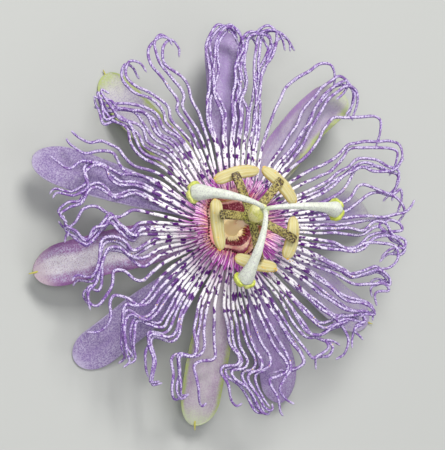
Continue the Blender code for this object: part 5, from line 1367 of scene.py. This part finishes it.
paint = Recipe("style_white_freckled", 0.5, Specular_IOR_Level=0.4)
share_value = paint.value("share")
freckles = paint.noise(paint.place, 4200.0, 1.5)
cloud = paint.noise(paint.place, 700.0, 2.0)
white = paint.mix(paint.ramp(cloud, 0.4, 0.65), (0.79, 0.83, 0.74), (0.72, 0.76, 0.65))
white = paint.mix(paint.ramp(share_value, 0.02, 0.22, 0.75, 0.0), white, (0.60, 0.70, 0.38))
freckled = paint.mix(paint.times(paint.ramp(freckles, 0.51, 0.61), 0.40), white, (0.38, 0.32, 0.42))
style_finish = paint.done(freckled, paint.calc("ADD", freckles, cloud), 0.09, 0.5)
piece("Styles", merged(style_parts), style_finish, "style", "styles")

# %% The stigmas
STIGMA_R = 1.85
STIGMA_LOBES = 0.14
STIGMA_ROWS = 52
STIGMA_SIDES = 72


def stigma(style, seed):
    """A thick cap, square to the style, as wide as R (1 + lobes x cos 2 turn), curled back by its reach².

    Its outline is crimped by a few sines of the turn, and a trough runs between its lobes.
    """
    last = style_path(style, np.array((0.97, 1.0)))
    along = unit(last[1] - last[0])
    across = polar(style[0] + 90, 1, 0)
    up = np.cross(across, along)
    down = np.linspace(0.03, 0.985, STIGMA_ROWS)[:, None] * math.pi
    turn = turns(STIGMA_SIDES)[None, :]
    crimp = 1 + 0.025 * np.sin(7 * turn + seed) + 0.02 * np.sin(13 * turn + 2 * seed)
    spread = np.sin(down) ** 0.5 * (1 + STIGMA_LOBES * np.cos(2 * turn)) * crimp * STIGMA_R
    x, y = spread * np.cos(turn), spread * np.sin(turn)
    y = y * (1 - 0.12 * np.exp(-((x / 0.35) ** 2)))
    facing = ease((0.3 - np.cos(down)) / 0.6)
    trough = 0.40 * np.exp(-((x / 0.35) ** 2)) * facing
    grain = 0.035 * waves(x * 4.2, y * 4.2, seed) + 0.025 * waves(x * 8, y * 8, seed + 1)
    curl = 0.55 * ((x**2 + 0.5 * y**2) / STIGMA_R**2)
    z = 0.60 - 0.60 * np.cos(down) + 0.20 * facing - trough + grain - curl
    middle = last[1] + along * 0.12
    grid = middle + x[..., None] * across + y[..., None] * up + z[..., None] * along
    return skin(grid[None])


paint = Recipe("stigma_lime", 0.36, Specular_IOR_Level=0.5)
grain = paint.noise(paint.place, 2800.0, 3.0, 0.7)
cloud = paint.noise(paint.place, 600.0, 2.0)
lime = paint.mix(paint.ramp(cloud, 0.4, 0.65), (0.53, 0.59, 0.09), (0.70, 0.72, 0.24))
lime = paint.mix(paint.ramp(grain, 0.56, 0.68), lime, (0.38, 0.42, 0.04))
stigma_finish = paint.done(lime, grain, 0.10, 0.7)
for number, style in enumerate(STYLES, 1):
    piece(f"Stigma_{number}", stigma(style, 70 + number), stigma_finish, "stigma", f"stigma_{number}")

# %% [markdown]
# Ripe anthers shed their pollen, and grains of it cling to their edges and ends and lie about on the
# filaments. Each grain is a twenty-sided ball, which is plenty for something a fifth of a
# millimetre thick, and all of them are one piece, copied by adding every grain's place to the same
# twelve corners.

# %% Pollen grains
GOLDEN = (1 + math.sqrt(5)) / 2
SIGNS = [(a, b * GOLDEN) for a in (-1, 1) for b in (-1, 1)]
BALL = unit(np.array(
    [(0, a, b) for a, b in SIGNS] + [(a, b, 0) for a, b in SIGNS] + [(b, 0, a) for a, b in SIGNS], float
))
NEIGHBOURS = 1.06  # a ball's corner is nearer than this to its five neighbours, and to no other
GRAINS_ON_ANTHER = 46
GRAINS_FALLEN = 60


def hull_faces(points):
    """The triangles whose three corners are each other's nearest neighbours, turned outwards."""
    gaps = np.linalg.norm(points[:, None] - points[None], axis=2)
    near = gaps < NEIGHBOURS
    a, b, c = np.nonzero(near[:, :, None] & near[None] & near[:, None, :])
    keep = (a < b) & (b < c)
    faces = np.stack((a, b, c), axis=1)[keep]
    first, second, third = (points[faces[:, k]] for k in range(3))
    normal = np.cross(second - first, third - first)
    inward = np.einsum("ij,ij->i", normal, first + second + third) < 0
    faces[inward] = faces[inward][:, ::-1]
    return faces


def grains(places, sizes):
    """place + size x ball, for every grain at once."""
    faces = hull_faces(BALL)
    points = places[:, None] + sizes[:, None, None] * BALL[None]
    numbered = faces[None] + len(BALL) * np.arange(len(places))[:, None, None]
    return {
        "points": points.reshape(-1, 3), "quads": np.zeros((0, 4), int),
        "triangles": numbered.reshape(-1, 3), "values": {},
    }


rng = np.random.default_rng(21)
places = []
for stamen in STAMENS:
    count = GRAINS_ON_ANTHER
    near_end = rng.uniform(size=count) < 0.6
    at_end = rng.choice((0.03, 0.97), count) + rng.normal(0, 0.03, count)
    share = np.clip(np.where(near_end, at_end, rng.uniform(0.05, 0.95, count)), 0.01, 0.99)
    path = anther_path(stamen, share)
    outward = unit(path * np.array((1, 1, 0)))
    fullness = np.sqrt(np.clip(1 - np.abs(2 * share - 1) ** 3.4, 0, 1))[:, None]
    turn = rng.uniform(-0.3, 1.2, count)[:, None]
    aside = outward * ANTHER_HALF_WIDTH * fullness * np.cos(turn)
    above = np.array((0, 0, 1)) * ANTHER_HALF_THICK * fullness * np.sin(turn)
    places.append(path + aside + above)
picked = corona[rng.integers(0, len(corona), GRAINS_FALLEN), rng.integers(12, 70, GRAINS_FALLEN)]
places.append(picked + np.array((0, 0, 0.28)))
places = np.concatenate(places)
paint = Recipe("pollen_orange", 0.6)
tone = paint.noise(paint.place, 1400.0, 1.0)
pollen_finish = paint.done(paint.mix(paint.ramp(tone, 0.4, 0.6), (0.90, 0.48, 0.03), (0.95, 0.68, 0.12)))
piece("Pollen", grains(places, rng.uniform(0.07, 0.13, len(places))), pollen_finish, "anther")

# %% [markdown]
# Under the flower there is only its cut stem and three bracts, small leaves that once wrapped the
# bud. The stem has shallow ribs and a paler cut end. A bract is a blade like the others, much
# smaller, folded along its midrib and toothed, with a round gland on each side of its foot.

# %% The stem
STEM_END_Z = 1.5
STEM_R = 1.25
STEM_SIDES = 56
STEM_RINGS = 60
heights = np.linspace(STEM_END_Z, CUP_FOOT_Z - 0.1, STEM_RINGS)
share = (heights - STEM_END_Z) / (CUP_FOOT_Z - STEM_END_Z)
stem_path = np.stack((-0.5 * (1 - share) ** 2, 0.3 * (1 - share) ** 2, heights), axis=1)[None]
stem_r = STEM_R + 0.55 * ease((share - 0.55) / 0.45)
ribs = 1 + 0.05 * np.cos(7 * turns(STEM_SIDES))
stem_section = (round_section(STEM_SIDES) * ribs[:, None])[None, None]
stem_grid = carried(stem_path, stem_section, stem_r[None], stem_r[None], up=(0, 1, 0))
paint = Recipe("stem_green", 0.5, Specular_IOR_Level=0.4)
fibre = paint.noise(paint.vector("straight", (1.0, 0.06, 1.0)), 5.0, 3.0)
cloud = paint.noise(paint.place, 500.0, 2.0)
green = paint.mix(paint.ramp(fibre, 0.4, 0.6), (0.20, 0.33, 0.07), (0.36, 0.48, 0.16))
green = paint.mix(paint.ramp(cloud, 0.5, 0.75, 0.0, 0.4), green, (0.36, 0.26, 0.16))
stem_finish = paint.done(green, fibre, 0.08, 0.5)
turn = turns(STEM_SIDES)[None, :]
stem_straight = np.stack(np.broadcast_arrays(np.cos(turn), heights[:, None], np.sin(turn)), axis=2)[None]
piece("Stem", skin(stem_grid, straight=stem_straight), stem_finish, "stem", "stem", sharp=50)

# %% The bracts
BRACT_DIRECTIONS = (95, 215, 335)
BRACT_LENGTH = 5.5
BRACT_HALF_WIDTH = 1.32
BRACT_THICK = 0.17
BRACT_TEETH = 9
GLAND_R = 0.2
paint = Recipe("bract_green", 0.55, Specular_IOR_Level=0.35)
cloud = paint.noise(paint.place, 800.0, 3.0)
leaf_green = paint.mix(paint.ramp(cloud, 0.38, 0.64), (0.16, 0.30, 0.06), (0.34, 0.46, 0.15))
bract_finish = paint.done(leaf_green, cloud, 0.12, 0.5)
for number, direction in enumerate(BRACT_DIRECTIONS, 1):
    share = np.linspace(0, 1, 60)
    reach = STEM_R + 0.15 + GAP + BRACT_LENGTH * 0.85 * share
    height = CUP_FOOT_Z - 1.9 - 0.9 * share + 1.1 * share**2
    turn = math.radians(direction)
    line = around_axis(reach, turn, height)[None]
    teeth = 1 + 0.09 * np.abs(np.sin(BRACT_TEETH * math.pi * share)) * ease(share / 0.3)
    wide = BRACT_HALF_WIDTH * np.sin(math.pi * (0.2 + 0.79 * share)) ** 0.8 * teeth
    x, y = round_section(36).T
    midrib = 0.5 * np.exp(-((x / 0.15) ** 2)) * (y < 0)
    folded = np.stack((x, y + 0.9 * np.abs(x) - midrib), axis=1)
    leaf = skin(carried(line, folded[None, None], wide[None], BRACT_THICK * np.ones((1, len(share)))))
    side = polar(direction + 90, 1, 0) * wide[5]
    lifted = line[0, 5] + np.array((0, 0, 0.05))
    glands = [grains((lifted + sign * side)[None], np.array((GLAND_R,))) for sign in (-1, 1)]
    piece(f"Bract_{number}", merged([leaf, *glands]), bract_finish, "bract", f"bract_{number}")

# %% [markdown]
# The flower lies on a plain pale floor. One broad soft lamp stands high on the far side, where it
# picks out the filaments against the petals. A weaker one hangs near the camera and reaches down into
# the cup, a third fills the shaded side, and the sky is dim and even. The camera looks steeply down,
# rolled so that the flower sits as it grew.

# %% Floor, light and camera
FLOOR_HALF = 0.7  # metres, as are the lamps' distances and sizes
LAMP_AIM_Z = 0.015
# Name, direction, height in degrees, distance, size, watts, colour
LAMPS = (
    ("Key", 150, 60, 0.6, 0.25, 3.0, (1.0, 0.985, 0.95)),
    ("Front", -93, 68, 0.6, 0.22, 1.25, (1.0, 0.99, 0.97)),
    ("Fill", 5, 42, 0.7, 0.5, 0.8, (0.96, 0.98, 1.0)),
)
SKY_COLOUR, SKY_STRENGTH = (0.95, 0.98, 1.0, 1), 0.24
CAMERA_ELEVATION = math.radians(65)
CAMERA_ROLL = math.radians(60)
CAMERA_DISTANCE = 360.0
CAMERA_RIGHT, CAMERA_UP = -1.94, 0.37  # how far the camera is moved in its own picture's plane
CAMERA_LENS = 155.5
LOOK_AT_Z = 14.0
mesh = bpy.data.meshes.new("Floor")
corners = [(x * FLOOR_HALF, y * FLOOR_HALF, 0) for x, y in ((-1, -1), (1, -1), (1, 1), (-1, 1))]
mesh.from_pydata(corners, [], [(0, 1, 2, 3)])
floor = bpy.data.objects.new("Floor", mesh)
bpy.context.scene.collection.objects.link(floor)
paint = Recipe("floor_pale", 0.9, Specular_IOR_Level=0.2)
paint.put(paint.shader.inputs["Base Color"], (0.50, 0.51, 0.50))
mesh.materials.append(paint.material)


def lamp(name, azimuth, elevation, distance, size, watts, colour):
    """A square area lamp at that direction and height, facing the flower."""
    turn, rise = math.radians(azimuth), math.radians(elevation)
    away = np.array((math.cos(turn) * math.cos(rise), math.sin(turn) * math.cos(rise), math.sin(rise)))
    data = bpy.data.lights.new(name, "AREA")
    data.size, data.energy, data.color = size, watts, colour
    side = unit(np.cross((0, 0, 1), away))
    turned = np.eye(4)
    turned[:3, :3] = np.stack((side, np.cross(away, side), away), axis=1)
    turned[:3, 3] = away * distance + np.array((0, 0, LAMP_AIM_Z))
    obj = bpy.data.objects.new(name, data)
    obj.matrix_world = Matrix(turned.tolist())
    bpy.context.scene.collection.objects.link(obj)


for row in LAMPS:
    lamp(*row)
world = bpy.data.worlds.new("Sky")
bpy.context.scene.world = world
world.use_nodes = True
sky = world.node_tree.nodes["Background"]
sky.inputs["Color"].default_value = SKY_COLOUR
sky.inputs["Strength"].default_value = SKY_STRENGTH

back = np.array((0, -math.cos(CAMERA_ELEVATION), math.sin(CAMERA_ELEVATION)))
right = np.array((1.0, 0, 0))
above = np.array((0, math.sin(CAMERA_ELEVATION), math.cos(CAMERA_ELEVATION)))
x_axis = math.cos(CAMERA_ROLL) * right + math.sin(CAMERA_ROLL) * above
y_axis = math.cos(CAMERA_ROLL) * above - math.sin(CAMERA_ROLL) * right
place = AXIS_AT + np.array((0, 0, LOOK_AT_Z)) + CAMERA_DISTANCE * back
place = place + CAMERA_RIGHT * x_axis + CAMERA_UP * y_axis
turned = np.eye(4)
turned[:3, :3] = np.stack((x_axis, y_axis, back), axis=1)
turned[:3, 3] = place * MM
camera_data = bpy.data.cameras.new("Camera")
camera_data.lens, camera_data.sensor_width, camera_data.clip_start = CAMERA_LENS, 36.0, 0.01
camera = bpy.data.objects.new("Camera", camera_data)
camera.matrix_world = Matrix(turned.tolist())
bpy.context.scene.collection.objects.link(camera)
bpy.context.scene.camera = camera
bpy.context.scene.view_settings.view_transform = "Standard"
print("camera at", (place * MM).round(3))
